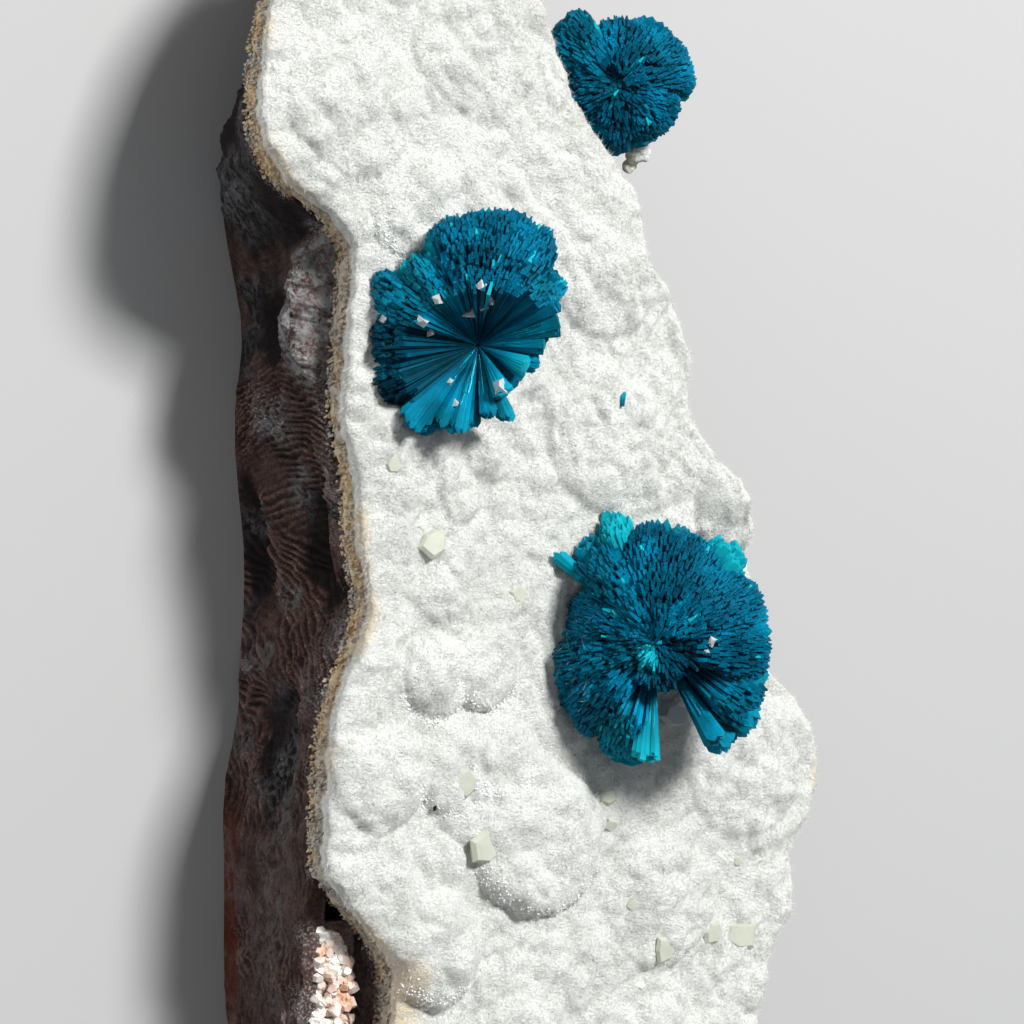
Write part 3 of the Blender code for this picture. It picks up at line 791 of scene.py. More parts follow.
# Rings of points from the foot up to the rim, and on inward over the ledge to a lip under the rind.
def makeRock():
    values = rockValues
    across, along, outward = aroundSlab(values)
    count = len(across)
    footX, footY = planAt(rockFeet, across, along)
    rimX, rimY = planAt(rockRims, across, along)
    onLeft = smoothStep(0.5, 0.0, across)
    holes = [(*hollow[:4], 1.0) for hollow in rockHollows]
    rings, crests, climbs = [], [], np.linspace(0, 1, values["rows"])
    for climb in climbs:
        x, y = blend(footX, rimX, climb), blend(footY, rimY, climb)
        ring = np.stack((x, y, climb * seamAt(x)), axis=1)
        belly = values["bellySwell"] * math.sin(math.pi * climb)
        push = onLeft * belly * np.exp(-(((y - values["bellyY"]) / values["bellyReach"]) ** 2))
        level = np.full(count, climb)
        for hollow, hole in zip(rockHollows, holes):
            push = push - onLeft * hollow[4] * spots([hole], y, level)
        ridgeAndShade = ridgeField(y + 30 * (1 - onLeft), level)
        push += values["ridgeDepth"] * (ridgeAndShade - 0.5)
        push += values["roughDepth"] * layeredNoise(ring, 3.2, 3, 71)
        ledge = onLeft * np.exp(-(((y - values["ledgeY"]) / values["ledgeReach"]) ** 4))
        width = values["ledgeWidth"] * (1 + 0.25 * smoothNoise(ring, 1.3, 77))
        push += width * ledge * smoothStep(0.55, 0.93, climb)
        push += values["grainDepth"] * layeredNoise(ring, 0.5, 2, 75)
        fade = min(1.0, climb * 14) ** 0.5  # the foot stays flat on the ground
        ring += outward * (push * fade)[:, None]
        drop = values["ledgeDrop"] * (1 + layeredNoise(ring, 0.9, 3, 78))
        ring[:, 2] -= ledge * drop * smoothStep(0.9, 1.0, climb)
        rings.append(ring)
        crests.append(ridgeAndShade)
    lip = np.stack((rimX, rimY, seamAt(rimX)), axis=1) - outward * values["lipInset"]
    inner = []
    for share in np.linspace(0, 1, values["ledgeRows"])[1:]:
        step = blend(rings[-1], lip, share)
        step[:, 2] += values["ledgeRough"] * ledge * layeredNoise(step, 0.7, 3, 79) * (1 - share)
        inner.append(step)
    pit = lip.copy()
    pit[:, 2] -= values["lipDepth"]
    points = np.concatenate(rings + inner + [pit])
    total = len(rings) + len(inner) + 1
    faces = ringFaces(total, count)
    faces.append(list(range(count - 1, -1, -1)))
    faces.append(list(range((total - 1) * count, total * count)))
    climbs = np.concatenate((np.repeat(climbs, count), np.ones(count * (len(inner) + 1))))
    y, left = points[:, 1], np.tile(onLeft, total)
    ragged = 0.35 * smoothNoise(points, 1.1, 84)
    stray = smoothStep(0.1, 0.7, smoothNoise(points, 2.6, 81)) * 0.35
    smear = np.clip(np.maximum(left * spots(rockSmears, y, climbs) * (1 + ragged), stray), 0, 1)
    # Painted shade: the hollows, and the upper end under the crust's overhang, are marked to be painted near
    # black.
    dark = smoothStep(0.35, 0.7, left * spots(holes, y, climbs) * 1.3 + ragged)
    dark = np.maximum(dark, 0.85 * left * smoothStep(values["shadedFrom"], values["shadedFrom"] + 3.0, y))
    granules = smoothStep(0.80, 0.94, climbs) * smoothStep(-0.3, 0.3, smoothNoise(points, 1.6, 83))
    granules = np.maximum(granules, spots(rockGranules, y, climbs))
    # Ridge height, which also sets the painted shade; the ledge and lip get a middling value.
    ridgeAndShade = np.concatenate(crests + [np.full(count, 0.6)] * (len(inner) + 1))
    reddish = 0.75 * left * smoothStep(values["redFrom"], values["redFrom"] - 3.0, y)
    reddish = reddish * smoothStep(0.24, 0.05, climbs)
    marks = {"smear": smear, "sparkle": granules * left, "ridgeAndShade": ridgeAndShade, "dark": dark, "reddish": reddish}
    makePiece("basaltRock", points, faces, rockSkin, "basalt", ("basalt_matrix",), sharp=38, marks=marks)


rockSkin = rockMaterial()
makeRock()
print("rock made")


# Tan rind between rock and crust: grainy, uneven, thicker in places.
rindValues = dict(
    lowerColumns=90,
    rightColumns=360,
    upperColumns=50,
    leftColumns=620,
    rows=9,
    foot=-0.20,  # how far the rind's underside and top lie over the seam
    top=1.35,
    wave=0.30,
    swell=0.24,
    rough=0.20,
    bumpDepth=0.30,
    grains=5200,
    leftShare=0.75,  # of the grains
    grainSize=(0.06, 0.17),
    tan=(0.80, 0.53, 0.25),
    cream=(0.95, 0.83, 0.60),
    brown=(0.25, 0.14, 0.07),
    white=(0.62, 0.60, 0.55),
    golden=((-12.0, 4.5), (14.0, 60.0)),  # from y to y, where the rind is golden and not white
    finish={"Roughness": 0.72},
)


def rindMaterial():
    values = rindValues
    material, tree, shader = newMaterial("tan rind", values["finish"])
    point = objectPoint(tree)
    grain = noiseNode(tree, point, 0.28, 5.0, 0.75)
    broad = noiseNode(tree, point, 1.6, 4.0, 0.6)
    body = rampNode(tree, grain, ((0.34, values["brown"]), (0.46, values["tan"]), (0.64, values["cream"])))
    pale = rampNode(tree, broad, ((0.42, 0.0), (0.62, 0.6)))
    body = mixNode(tree, pale, body, values["cream"])
    body = mixNode(tree, mathNode(tree, "SUBTRACT", 1.0, markNode(tree, "golden")), body, values["white"])
    tree.links.new(body, shader.inputs["Base Color"])
    tree.links.new(bumpNode(tree, grain, values["bumpDepth"]), shader.inputs["Normal"])
    return material


def makeRind():
    values = rindValues
    across, along, outward = aroundSlab(values)
    count = len(across)
    x, y = planAt(crustEdges, across, along)
    rings = []
    for level in np.linspace(0, 1, values["rows"]):
        ring = np.stack((x, y, seamAt(x) + blend(values["foot"], values["top"], level)), axis=1)
        wave = values["wave"] * layeredNoise(ring * (1, 1, 0), 1.5, 3, 91)
        ring[:, 2] += wave * (0.5 if level < 0.5 else 1.0)
        swell = values["swell"] * math.sin(math.pi * level) + values["rough"] * layeredNoise(ring, 0.6, 3, 92)
        ring += outward * swell[:, None]
        rings.append(ring)
    points = np.concatenate(rings)
    faces = ringFaces(len(rings), count)
    faces.append(list(range(count - 1, -1, -1)))
    faces.append(list(range((len(rings) - 1) * count, len(rings) * count)))
    golden, y = np.zeros(len(points)), points[:, 1]
    for low, high in values["golden"]:
        golden = np.maximum(golden, smoothStep(low, low + 2.0, y) * smoothStep(high, high - 1.5, y))
    golden = np.clip(golden * 0.75 + 0.25 + 0.25 * smoothNoise(points, 1.6, 94), 0, 1)
    marks = {"golden": golden}
    makePiece("tanRind", points, faces, rindSkin, "tan_rind", ("tan_rind",), sharp=40, marks=marks)


# Loose sandy grains that break up the rind's edges.
def makeRindGrains():
    values = rindValues
    random = np.random.default_rng(95)
    ys, left, right = crustEdges
    shape = np.array(((-1, -0.7, -0.6), (1, -0.6, -0.7), (0.1, 1, -0.6), (-0.4, -0.4, 0.8), (0.7, 0.1, 0.7)))
    sides = ((0, 2, 1), (0, 1, 4, 3), (1, 2, 4), (2, 0, 3), (2, 3, 4))
    points, faces = [], []
    for number in range(values["grains"]):
        onLeft = random.random() < values["leftShare"]
        y = random.uniform(-halfLength + 1, halfLength - 1)
        x = np.interp(y, ys, left if onLeft else right)
        level = random.uniform(-0.3, 1.6)
        outward = random.uniform(0.05, 0.40) * (-1 if onLeft else 1)
        place = np.array((x + outward, y, seamAt(x) + level))
        turn = Matrix.Rotation(random.uniform(0, 6.3), 3, Vector(random.normal(0, 1, 3)))
        points.append(shape * random.uniform(*values["grainSize"]) @ np.array(turn) + place)
        faces += [tuple(k + 5 * number for k in side) for side in sides]
    points = np.concatenate(points)
    marks = {"golden": np.clip(0.55 + 0.9 * smoothNoise(points, 1.1, 96), 0, 1)}
    makePiece("rindGrains", points, faces, rindSkin, "tan_rind", smooth=False, marks=marks)


rindSkin = rindMaterial()
makeRind()
makeRindGrains()
print("rind made")


# Blue cavansite: each rosette is a ball of laths.
# Domes are close bunches, of which only the ends are seen. Between and behind them stand open fans, of which
# the sides are seen.
cavansiteValues = dict(
    bladeWidth=0.70,  # towards the rosette's middle
    bladeDepth=0.13,  # across
    # Painted glints: this share of the dome's ends gets a strong painted glow in place of caught light.
    bladePoint=0.7,
    paintedSparkles=0.012,  # share of the dome's ends that catch the light
    sectorWidth=11.0,  # degrees
    sectorTone=0.16,
    hiddenBelow=-8.0,  # laths that rise less than this, in degrees, are hardly seen
    hiddenSize=0.55,  # and have this width and depth
    back=3.4,  # how far a rosette reaches down into the crust
    clumps=0.065,
    raggedEnds=0.008,
    bladeRoll=0.16,
    toneClumps=0.12,
    toneJitter=0.04,
    fanTone=0.46,
    layers=5,
    halfDepth=8.0,  # degrees that a fan's layers spread to each side of its rise
    droop=10.0,  # degrees that a fan's sides fall below its middle
    thickness=0.20,
    rootShare=0.03,
    stripes=13.0,  # fine lines along the laths, to a millimetre of their width
    stripeDepth=0.03,
    grainDepth=0.02,
    needles=9,
    # The needles' bright tone and glow are painted highlights; their gloss is real.
    needleTone=0.75,
    needlePaintedGlow=0.3,
    needleGloss=0.6,
    needleRoughness=(0.08, 0.2),
    reflected=(0.10, 0.72, 0.90),  # tint of the light that comes back off the laths
    deep=(0.0, 0.050, 0.100),
    body=(0.0, 0.330, 0.590),
    bright=(0.0, 0.46, 0.62),
    # The glow colour is painted light, standing in for light shining through thin lath ends.
    paintedGlow=(0.01, 0.58, 0.66),
    roughness=(0.42, 0.62),
    gloss=0.05,
    transmission=0.30,
    ior=1.54,
)
# A dome is turn, half spread, lowest and highest rise (degrees), reach to the side and to the front (mm),
# brightness, which also paints the dome's light and shade, and painted glow at its ends.
leftDomes = (
    (81, 32, -70, 54, 7.7, 5.2, 0.38, 0.00),
    (44, 13, -70, 40, 6.0, 5.0, 0.40, 0.10),
    (127, 13, -40, 46, 6.2, 4.8, 0.42, 0.30),
    (152, 14, -30, 40, 7.0, 4.2, 0.34, 0.20),
    (178, 14, -30, 34, 6.7, 4.0, 0.10, 0.00),
    (204, 14, -30, 26, 6.5, 3.8, 0.08, 0.00),
    (226, 10, -40, 20, 5.8, 3.4, 0.26, 0.00),
    (260, 26, -70, -6, 4.2, 3.0, 0.30, 0.00),
    (335, 50, -70, -4, 3.2, 2.6, 0.30, 0.00),
    (18, 14, -70, 4, 4.2, 3.0, 0.34, 0.00),
)
rightDomes = (
    (80, 34, -70, 84, 6.5, 5.2, 0.30, 0.00),
    (28, 20, -70, 80, 6.5, 5.0, 0.36, 0.00),
    (126, 14, -40, 76, 6.8, 5.0, 0.36, 0.10),
    (160, 22, -30, 80, 5.1, 4.9, 0.30, 0.00),
    (196, 16, -30, 66, 5.9, 4.6, 0.34, 0.10),
    (226, 17, -40, 54, 6.7, 4.4, 0.40, 0.00),
    (250, 11, -70, 34, 7.2, 4.2, 0.48, 0.30),
    (352, 18, -70, 60, 6.7, 4.9, 0.36, 0.00),
    (324, 14, -70, 32, 7.5, 4.2, 0.36, 0.10),
    (284, 12, -70, 2, 3.0, 2.6, 0.20, 0.00),
    (90, 180, 58, 88, 6.0, 4.3, 0.22, 0.00),
    (190, 80, 74, 87, 6.0, 4.6, 0.60, 1.00),
)
topDomes = (
    (30, 32, -70, 80, 4.5, 3.4, 0.40, 0.00),
    (88, 27, -70, 70, 4.2, 3.4, 0.38, 0.00),
    (139, 26, -70, 66, 5.4, 4.2, 0.36, 0.10),
    (190, 30, -70, 76, 4.2, 4.2, 0.32, 0.00),
    (250, 32, -70, 60, 3.9, 3.2, 0.32, 0.00),
    (322, 38, -70, 66, 3.7, 3.3, 0.34, 0.00),
    (90, 180, 58, 88, 3.8, 2.9, 0.24, 0.00),
)
# A fan is turn, rise, half spread (degrees), reach, lath width, painted glow at its ends, how pointed its
# ends are, and how much its laths stand out from one another.
leftFans = (
    (81, -4, 28, 7.9, 0.34, 0.10, 1.2, 0.5),
    (60, 4, 12, 7.0, 0.34, 0.10, 1.0, 0.5),
    (112, 2, 7, 7.1, 0.36, 0.85, 1.0, 0.6),
    (134, 2, 10, 6.7, 0.36, 0.80, 1.2, 0.6),
    (156, 0, 14, 7.2, 0.36, 0.45, 1.0, 0.5),
    (191, 2, 16, 6.8, 0.42, 0.06, 0.9, 0.4),
    (212, 0, 8, 6.4, 0.46, 0.06, 0.9, 0.4),
    (230, 14, 8, 6.2, 0.50, 0.15, 0.8, 0.6),
    (236, 2, 6, 6.4, 0.60, 0.35, 1.2, 0.6),
    (246, 10, 7, 5.4, 0.50, 0.20, 0.9, 0.8),
    (256, 14, 6, 5.3, 0.45, 0.20, 0.9, 0.8),
    (262, 0, 8, 4.9, 0.40, 0.25, 1.0, 0.7),
    (278, 8, 7, 4.4, 0.45, 0.15, 0.9, 0.7),
    (291, -2, 6, 4.8, 0.50, 0.40, 1.2, 0.5),
    (298, 22, 10, 3.3, 1.10, 0.80, 0.12, 0.2),
    (334, 18, 10, 3.2, 1.30, 0.85, 0.10, 0.2),
    (343, -6, 9, 3.7, 0.50, 0.15, 0.8, 0.5),
    (2, 4, 9, 3.9, 0.90, 0.30, 0.05, 0.5),
    (18, 8, 10, 4.9, 0.80, 0.20, 0.1, 0.5),
    (34, 16, 10, 5.4, 0.60, 0.12, 0.3, 0.5),
    (46, 8, 8, 6.2, 0.50, 0.10, 0.6, 0.5),
)
rightFans = (
    (88, -2, 20, 7.1, 0.40, 0.30, 1.2, 0.6),
    (110, -4, 9, 8.1, 0.27, 0.95, 1.8, 1.3),
    (112, 10, 8, 7.4, 0.27, 0.95, 1.8, 1.3),
    (126, 0, 10, 7.4, 0.40, 0.30, 1.0, 0.5),
    (139, -2, 3, 8.1, 0.24, 0.70, 1.4, 1.0),
    (50, 4, 11, 7.5, 0.27, 0.95, 1.2, 0.9),
    (32, 0, 14, 6.8, 0.40, 0.50, 1.0, 0.5),
    (6, 2, 18, 6.9, 0.40, 0.15, 1.0, 0.4),
    (338, 0, 14, 7.2, 0.40, 0.30, 0.8, 0.3),
    (318, 2, 10, 7.9, 0.50, 0.20, 1.0, 0.5),
    (304, 4, 6, 8.0, 0.60, 0.25, 0.8, 0.9),
    (301, 20, 5, 7.0, 0.60, 0.15, 0.6, 0.9),
    (268, 12, 3, 7.2, 0.22, 0.95, 0.2, 0.5),
    (262, 18, 4, 7.0, 0.24, 0.90, 0.2, 0.7),
    (254, -2, 13, 7.6, 0.40, 0.60, 0.3, 0.5),
    (230, 0, 12, 6.9, 0.40, 0.20, 0.8, 0.4),
    (206, 0, 14, 6.5, 0.40, 0.20, 1.0, 0.4),
    (180, 0, 16, 5.5, 0.40, 0.30, 1.0, 0.4),
    (286, 0, 10, 3.2, 0.40, 0.00, 0.6, 0.6),
)
topFans = (
    (20, 0, 26, 4.6, 0.36, 0.12, 0.8, 0.4),
    (60, 0, 20, 4.7, 0.36, 0.12, 0.8, 0.4),
    (96, 0, 16, 4.2, 0.36, 0.20, 0.8, 0.4),
    (134, 0, 20, 5.3, 0.36, 0.40, 0.8, 0.4),
    (166, 0, 16, 4.3, 0.36, 0.30, 0.8, 0.4),
    (258, 0, 18, 4.0, 0.36, 0.20, 0.8, 0.4),
    (300, 0, 24, 3.7, 0.36, 0.20, 0.8, 0.4),
    (340, 0, 18, 3.8, 0.36, 0.20, 0.8, 0.4),
)
rosettes = (
    ("Left", "cavansite_rosette_left", (-7.9, 9.7, 17.4), leftDomes, leftFans, 1),
    ("Right", "cavansite_rosette_right", (4.6, -7.7, 16.8), rightDomes, rightFans, 2),
    ("Top", "cavansite_rosette_top", (4.85, 25.7, 12.4), topDomes, topFans, 3),
)


def cavansiteMaterial(name, gloss, roughness):
    values = cavansiteValues
    finish = {"IOR": values["ior"], "Transmission Weight": values["transmission"]}
    finish.update({"Specular IOR Level": gloss, "Specular Tint": (*values["reflected"], 1)})
    material, tree, shader = newMaterial(name, finish)
    tone, tip, paintedGlow = markNode(tree, "tone"), markNode(tree, "tip"), markNode(tree, "paintedGlow")
    body = rampNode(tree, tone, ((0.0, values["deep"]), (0.5, values["body"]), (1.0, values["bright"])))
    # Painted shade: each lath darkens towards its root, in the rosette's heart between the laths.
    body = darkenNode(tree, body, rampNode(tree, tip, ((0.10, 0.50), (0.7, 1.0))))
    patch = noiseNode(tree, objectPoint(tree), 2.0, 6.0, 0.62)
    body = darkenNode(tree, body, rampNode(tree, patch, ((0.36, 0.38), (0.62, 1.0))))
    lines = tree.nodes.new("ShaderNodeTexNoise")
    lines.noise_dimensions = "1D"
    lines.inputs["Scale"].default_value = 1.0
    lines.inputs["Detail"].default_value = 3.0
    tree.links.new(markNode(tree, "stripe"), lines.inputs["W"])
    stripe = lines.outputs["Fac"]
    body = darkenNode(tree, body, rampNode(tree, stripe, ((0.32, 0.48), (0.62, 1.0))))
    # Painted glow: the ends of laths with a glow mark are mixed towards bright cyan, in place of light
    # shining through them.
    paintedLight = mathNode(tree, "MULTIPLY", paintedGlow, rampNode(tree, tip, ((0.50, 0.0), (0.95, 1.0))))
    tree.links.new(mixNode(tree, paintedLight, body, values["paintedGlow"]), shader.inputs["Base Color"])
    grain = noiseNode(tree, objectPoint(tree), 0.10, 4.0, 0.65)
    rough = rampNode(tree, grain, ((0.35, roughness[0]), (0.6, roughness[1])))
    tree.links.new(rough, shader.inputs["Roughness"])
    normal = bumpNode(tree, stripe, values["stripeDepth"])
    tree.links.new(bumpNode(tree, grain, values["grainDepth"], 0.8, normal), shader.inputs["Normal"])
    return material


# The way that a turn and a rise in degrees point.
def toAim(turn, rise):
    turn, rise = np.radians(turn), np.radians(rise)
    return np.stack((np.cos(turn) * np.cos(rise), np.sin(turn) * np.cos(rise), np.sin(rise)), axis=-1)


# One row for each lath of a dome: where it starts, its way, its broad side, its sizes and its marks.
def domeLaths(dome, random):
    values = cavansiteValues
    turn, spread, low, high, side, front, shade, paintedGlow = dome
    rows, rise = [], low
    while rise < high:
        hidden = rise < values["hiddenBelow"]
        width = values["hiddenSize" if hidden else "bladeDepth"]
        depth = values["hiddenSize" if hidden else "bladeWidth"]
        tilt = math.radians(rise)
        upward = values["back"] if rise < 0 else front
        reach = 1 / math.hypot(math.cos(tilt) / side, math.sin(tilt) / upward)
        across = math.radians(spread) * reach * math.cos(tilt)
        count = max(3, round(2 * across / width))
        rowStep = math.degrees(depth / reach)
        u = (np.arange(count) + 0.5 + random.normal(0, 0.3, count)) / count * 2 - 1
        tilts = rise + random.uniform(-0.6, 0.6, count) * rowStep - (0 if spread > 90 else 5) * u**4
        way = toAim(turn + u * spread, tilts)
        broad = unit(toAim(turn + u * spread, tilts + 1) - way)
        clumps = 1 + values["clumps"] * layeredNoise(way * 6.5 + 3 * turn, 1.7, 2, 207)
        edge = 1 if spread > 90 else 1 - 0.09 * u**4
        length = reach * edge * clumps * (1 + random.normal(0, values["raggedEnds"], count))
        half = depth / 2 * random.uniform(0.9, 1.7, count)
        thick = 2 * across / count * random.uniform(1.2, 1.9, count)
        roll = random.normal(0, values["bladeRoll"], count)
        # The dome's brightness also paints its light and shade.
        tone = shade + values["toneClumps"] * layeredNoise(way * 4, 1.0, 2, 208)
        tone = tone + values["toneJitter"] * random.normal(size=count)
        sector = np.column_stack(((turn + u * spread) / values["sectorWidth"], tilts / 40, 0 * u))
        tone = tone + values["sectorTone"] * smoothNoise(sector, 1.0, 209)
        # Painted glints and glow: a few ends get a strong painted glow, the rest the dome's glow at random.
        paintedGlows = np.where(random.random(count) < values["paintedSparkles"], 0.9, paintedGlow * random.random(count))
        sizes = (length, half, thick, roll, np.full(count, values["bladePoint"]), tone, paintedGlows)
        start = way * reach * values["rootShare"]
        rows.append(np.column_stack((start, way, broad, *sizes)))
        rise += rowStep
    return np.concatenate(rows)


# The same for a fan, whose layers lie close over one another.
def fanLaths(fan, random):
    values = cavansiteValues
    turn, rise, spread, reach, width, paintedGlow, point, relief = fan
    shade = random.normal(0, 0.07)
    fall = values["droop"] * min(1.0, spread / 20)
    rows = []
    for layer in range(values["layers"]):
        front = layer / (values["layers"] - 1)
        layerRise = rise + (2 * front - 1) * values["halfDepth"] + random.normal(0, 0.8)
        layerTurn = turn + random.normal(0, 0.05 * spread)
        layerSpread = spread * (1 - 0.22 * front * random.random())
        layerReach = reach * (1 - 0.07 * front * random.random()) / math.cos(math.radians(min(layerRise, 30)))
        count = max(3, round(2 * math.radians(layerSpread) * layerReach / width))
        u = (np.arange(count) + 0.5) / count * 2 - 1
        u = u + random.normal(0, 0.25 / count, count)
        way = toAim(layerTurn + u * layerSpread, layerRise - fall * u**2)
        ahead = toAim(layerTurn + (u + 0.02) * layerSpread, layerRise - fall * (u + 0.02) ** 2)
        length = layerReach * (1 - 0.08 * np.abs(u) ** 3) * random.uniform(0.93, 1.01, count)
        half = layerReach * math.radians(layerSpread) / count * random.uniform(1.2, 1.8, count)
        roll = random.normal(0, 0.03 + 0.13 * relief, count)
        depth = values["thickness"] * (1 + random.uniform(-0.15, 0.9, count) * relief)
        tone = values["fanTone"] + shade + 0.04 * (front - 0.5)
        tone = tone + 0.06 * relief * random.normal(size=count)
        # Painted glow at the fan's ends.
        paintedGlows = paintedGlow * random.uniform(0.5, 1.0, count)
        start = way * reach * values["rootShare"]
        sizes = (length, half, depth, roll, np.full(count, point), tone, paintedGlows)
        rows.append(np.column_stack((start, way, unit(ahead - way), *sizes)))
    return np.concatenate(rows)


# Thin laths that lie on a fan's face, painted bright with a painted glow, as glints.
def fanNeedles(fan, random):
    values = cavansiteValues
    turn, rise, spread, reach = fan[:4]
    count = values["needles"]
    fall = values["droop"] * min(1.0, spread / 20)
    u = random.uniform(-0.9, 0.9, count)
    high = rise + values["halfDepth"] - fall * u**2 + random.uniform(0.0, 2.0, count)
    way = toAim(turn + u * spread, high)
    broad = unit(toAim(turn + u * spread + 1, high) - way)
    inner = random.uniform(0.05, 0.6, count)
    length = reach * (0.85 - inner) * random.uniform(0.2, 1.0, count)
    start = way * (reach * inner)[:, None]
    half = random.uniform(0.015, 0.045, count)
    roll, point = random.normal(0, 0.5, count), np.ones(count)
    # Painted highlights: a bright tone and a painted glow for every needle.
    tone, paintedGlow = np.full(count, values["needleTone"]), np.full(count, values["needlePaintedGlow"])
    return np.column_stack((start, way, broad, length, half, half * 2, roll, point, tone, paintedGlow))


# Ten corners and nine faces for each lath, growing wider from the centre to a gabled end.
def lathMesh(rows, random, taperFrom):
    count = len(rows)
    start, way, broad = rows[:, 0:3], rows[:, 3:6], rows[:, 6:9]
    length, half, depth, roll, point, tone, paintedGlow = [rows[:, k : k + 1] for k in range(9, 16)]
    level = np.cross(way, broad)
    wide = unit(broad * np.cos(roll) + level * np.sin(roll))
    thin = np.cross(way, wide)
    gable = np.minimum(half * point * random.uniform(0.7, 1.3, (count, 1)) + 0.02, length * 0.5)
    lean = random.uniform(-0.4, 0.4, (count, 1))
    end = start + way * length
    corners = []
    for centre, share in ((start, taperFrom), (end - way * gable, 1.0)):
        for w, t in ((-1, -1), (1, -1), (1, 1), (-1, 1)):
            corners.append(centre + wide * half * share * w + thin * depth * 0.5 * share * t)
    peak = end + wide * half * lean
    corners += [peak - thin * depth * 0.25, peak + thin * depth * 0.25]
    shape = [(3, 2, 1, 0), (0, 1, 5, 4), (1, 2, 6, 5), (2, 3, 7, 6), (3, 0, 4, 7)]
    shape += [(4, 5, 8), (6, 7, 9), (5, 6, 9, 8), (7, 4, 8, 9)]
    faces = [tuple(k + 10 * each for k in face) for each in range(count) for face in shape]
    # The tip mark runs from root to end; the shader paints shade at the roots and glow at the ends.
    tip = np.tile(np.array([0.1] * 4 + [0.93] * 4 + [1.0] * 2), count)
    side = np.array([-1, 1, 1, -1] * 2 + [0, 0])
    stripe = random.uniform(0, 900, (count, 1)) + half * side * cavansiteValues["stripes"]
    tone = np.repeat(np.clip(tone[:, 0], 0, 1), 10)
    marks = {"tone": tone, "tip": tip, "paintedGlow": np.repeat(paintedGlow[:, 0], 10), "stripe": stripe.ravel()}
    return np.stack(corners, axis=1).reshape(-1, 3), faces, marks


# A rosette faces the camera, and the turns of its domes and fans are as they are seen from there.
def makeRosette(name, node, heart, domes, fans, seed):
    random = np.random.default_rng(200 + seed)
    turned = np.stack(cameraAxes())
    laths = [domeLaths(dome, random) for dome in domes] + [fanLaths(fan, random) for fan in fans]
    points, faces, marks = lathMesh(np.concatenate(laths), random, cavansiteValues["rootShare"])
    points = points @ turned + np.array(heart)
    label = f"cavansiteRosette{name}"
    makePiece(label, points, faces, cavansiteSkin, "cavansite", (node,), smooth=False, marks=marks)
    tree = BVHTree.FromPolygons(points.tolist(), faces)
    needles = np.concatenate([fanNeedles(fan, random) for fan in fans])
    points, faces, marks = lathMesh(needles, random, 0.8)
    points = points @ turned + np.array(heart)
    makePiece(f"cavansiteNeedles{name}", points, faces, needleSkin, "cavansite", smooth=False, marks=marks)
    return tree


cavansiteSkin = cavansiteMaterial("cavansite", cavansiteValues["gloss"], cavansiteValues["roughness"])
needleSkin = cavansiteMaterial(
    "cavansite needles", cavansiteValues["needleGloss"], cavansiteValues["needleRoughness"]
)
rosetteTrees = {}
for name, node, heart, domes, fans, seed in rosettes:
    rosetteTrees[name] = makeRosette(name, node, heart, domes, fans, seed)
print("rosettes made")


# Heulandite: single clear blocks on the crust, and tiny ones that sit on the rosettes.
heulanditeValues = dict(
    tint=(0.72, 0.74, 0.62),
    cloudy=(0.64, 0.66, 0.55),
    clear=(0.92, 0.95, 0.93),
    transmission=0.35,
    clearTransmission=0.5,
    width=1.35,  # of the solid's width
    height=0.24,  # of the crystal's own width
    clearHeight=0.55,
    sink=0.168,  # of the solid's width
    flakeHeight=0.25,
    flakeSink=0.16,
    # The crystal in the right rosette's cleft is white and sits in the rosette's shadow; its whiter clear
    # skin is partly painted light.
    whitenedInShade="heulandite_crystal_7",  # the one in the right rosette's cleft
    finish={"Roughness": 0.38, "IOR": 1.50, "Specular IOR Level": 0.2},
)
# Flat flakes in the felt: pixel across and down in the picture, and size in millimetres.
flakePixels = (
    (518, 597, 0.7),
    (612, 826, 1.1),
    (541, 345, 0.5),
    (455, 340, 0.5),
    (633, 905, 0.8),
    (575, 968, 0.6),
    (737, 862, 0.7),
    (640, 985, 0.7),
    (352, 742, 0.5),
)
# Tiny wedges on the rosettes: pixel across and down, size, and which rosette.
perchedPixels = (
    (481, 286, 0.62, "Left"),
    (491, 298, 0.95, "Left"),
    (484, 307, 0.70, "Left"),
    (468, 314, 0.85, "Left"),
    (385, 317, 0.95, "Left"),
    (423, 322, 0.70, "Left"),
    (431, 331, 0.60, "Left"),
    (438, 300, 0.65, "Left"),
    (450, 382, 0.50, "Left"),
    (456, 404, 0.55, "Left"),
    (500, 386, 0.95, "Left"),
    (712, 642, 0.60, "Right"),
    (707, 652, 0.40, "Right"),
)


def heulanditeMaterial(name, first, second, transmission):
    material, tree, shader = newMaterial(name, heulanditeValues["finish"])
    shader.inputs["Transmission Weight"].default_value = transmission
    cloud = noiseNode(tree, objectPoint(tree), 0.9, 4.0)
    tint = rampNode(tree, cloud, ((0.35, first), (0.6, second)))
    tree.links.new(tint, shader.inputs["Base Color"])
    return material


# A random turn about the upright.
def anyTurn(random):
    turn = random.uniform(0, 2 * math.pi)
    return np.array(((math.cos(turn), math.sin(turn), 0), (-math.sin(turn), math.cos(turn), 0), (0, 0, 1)))


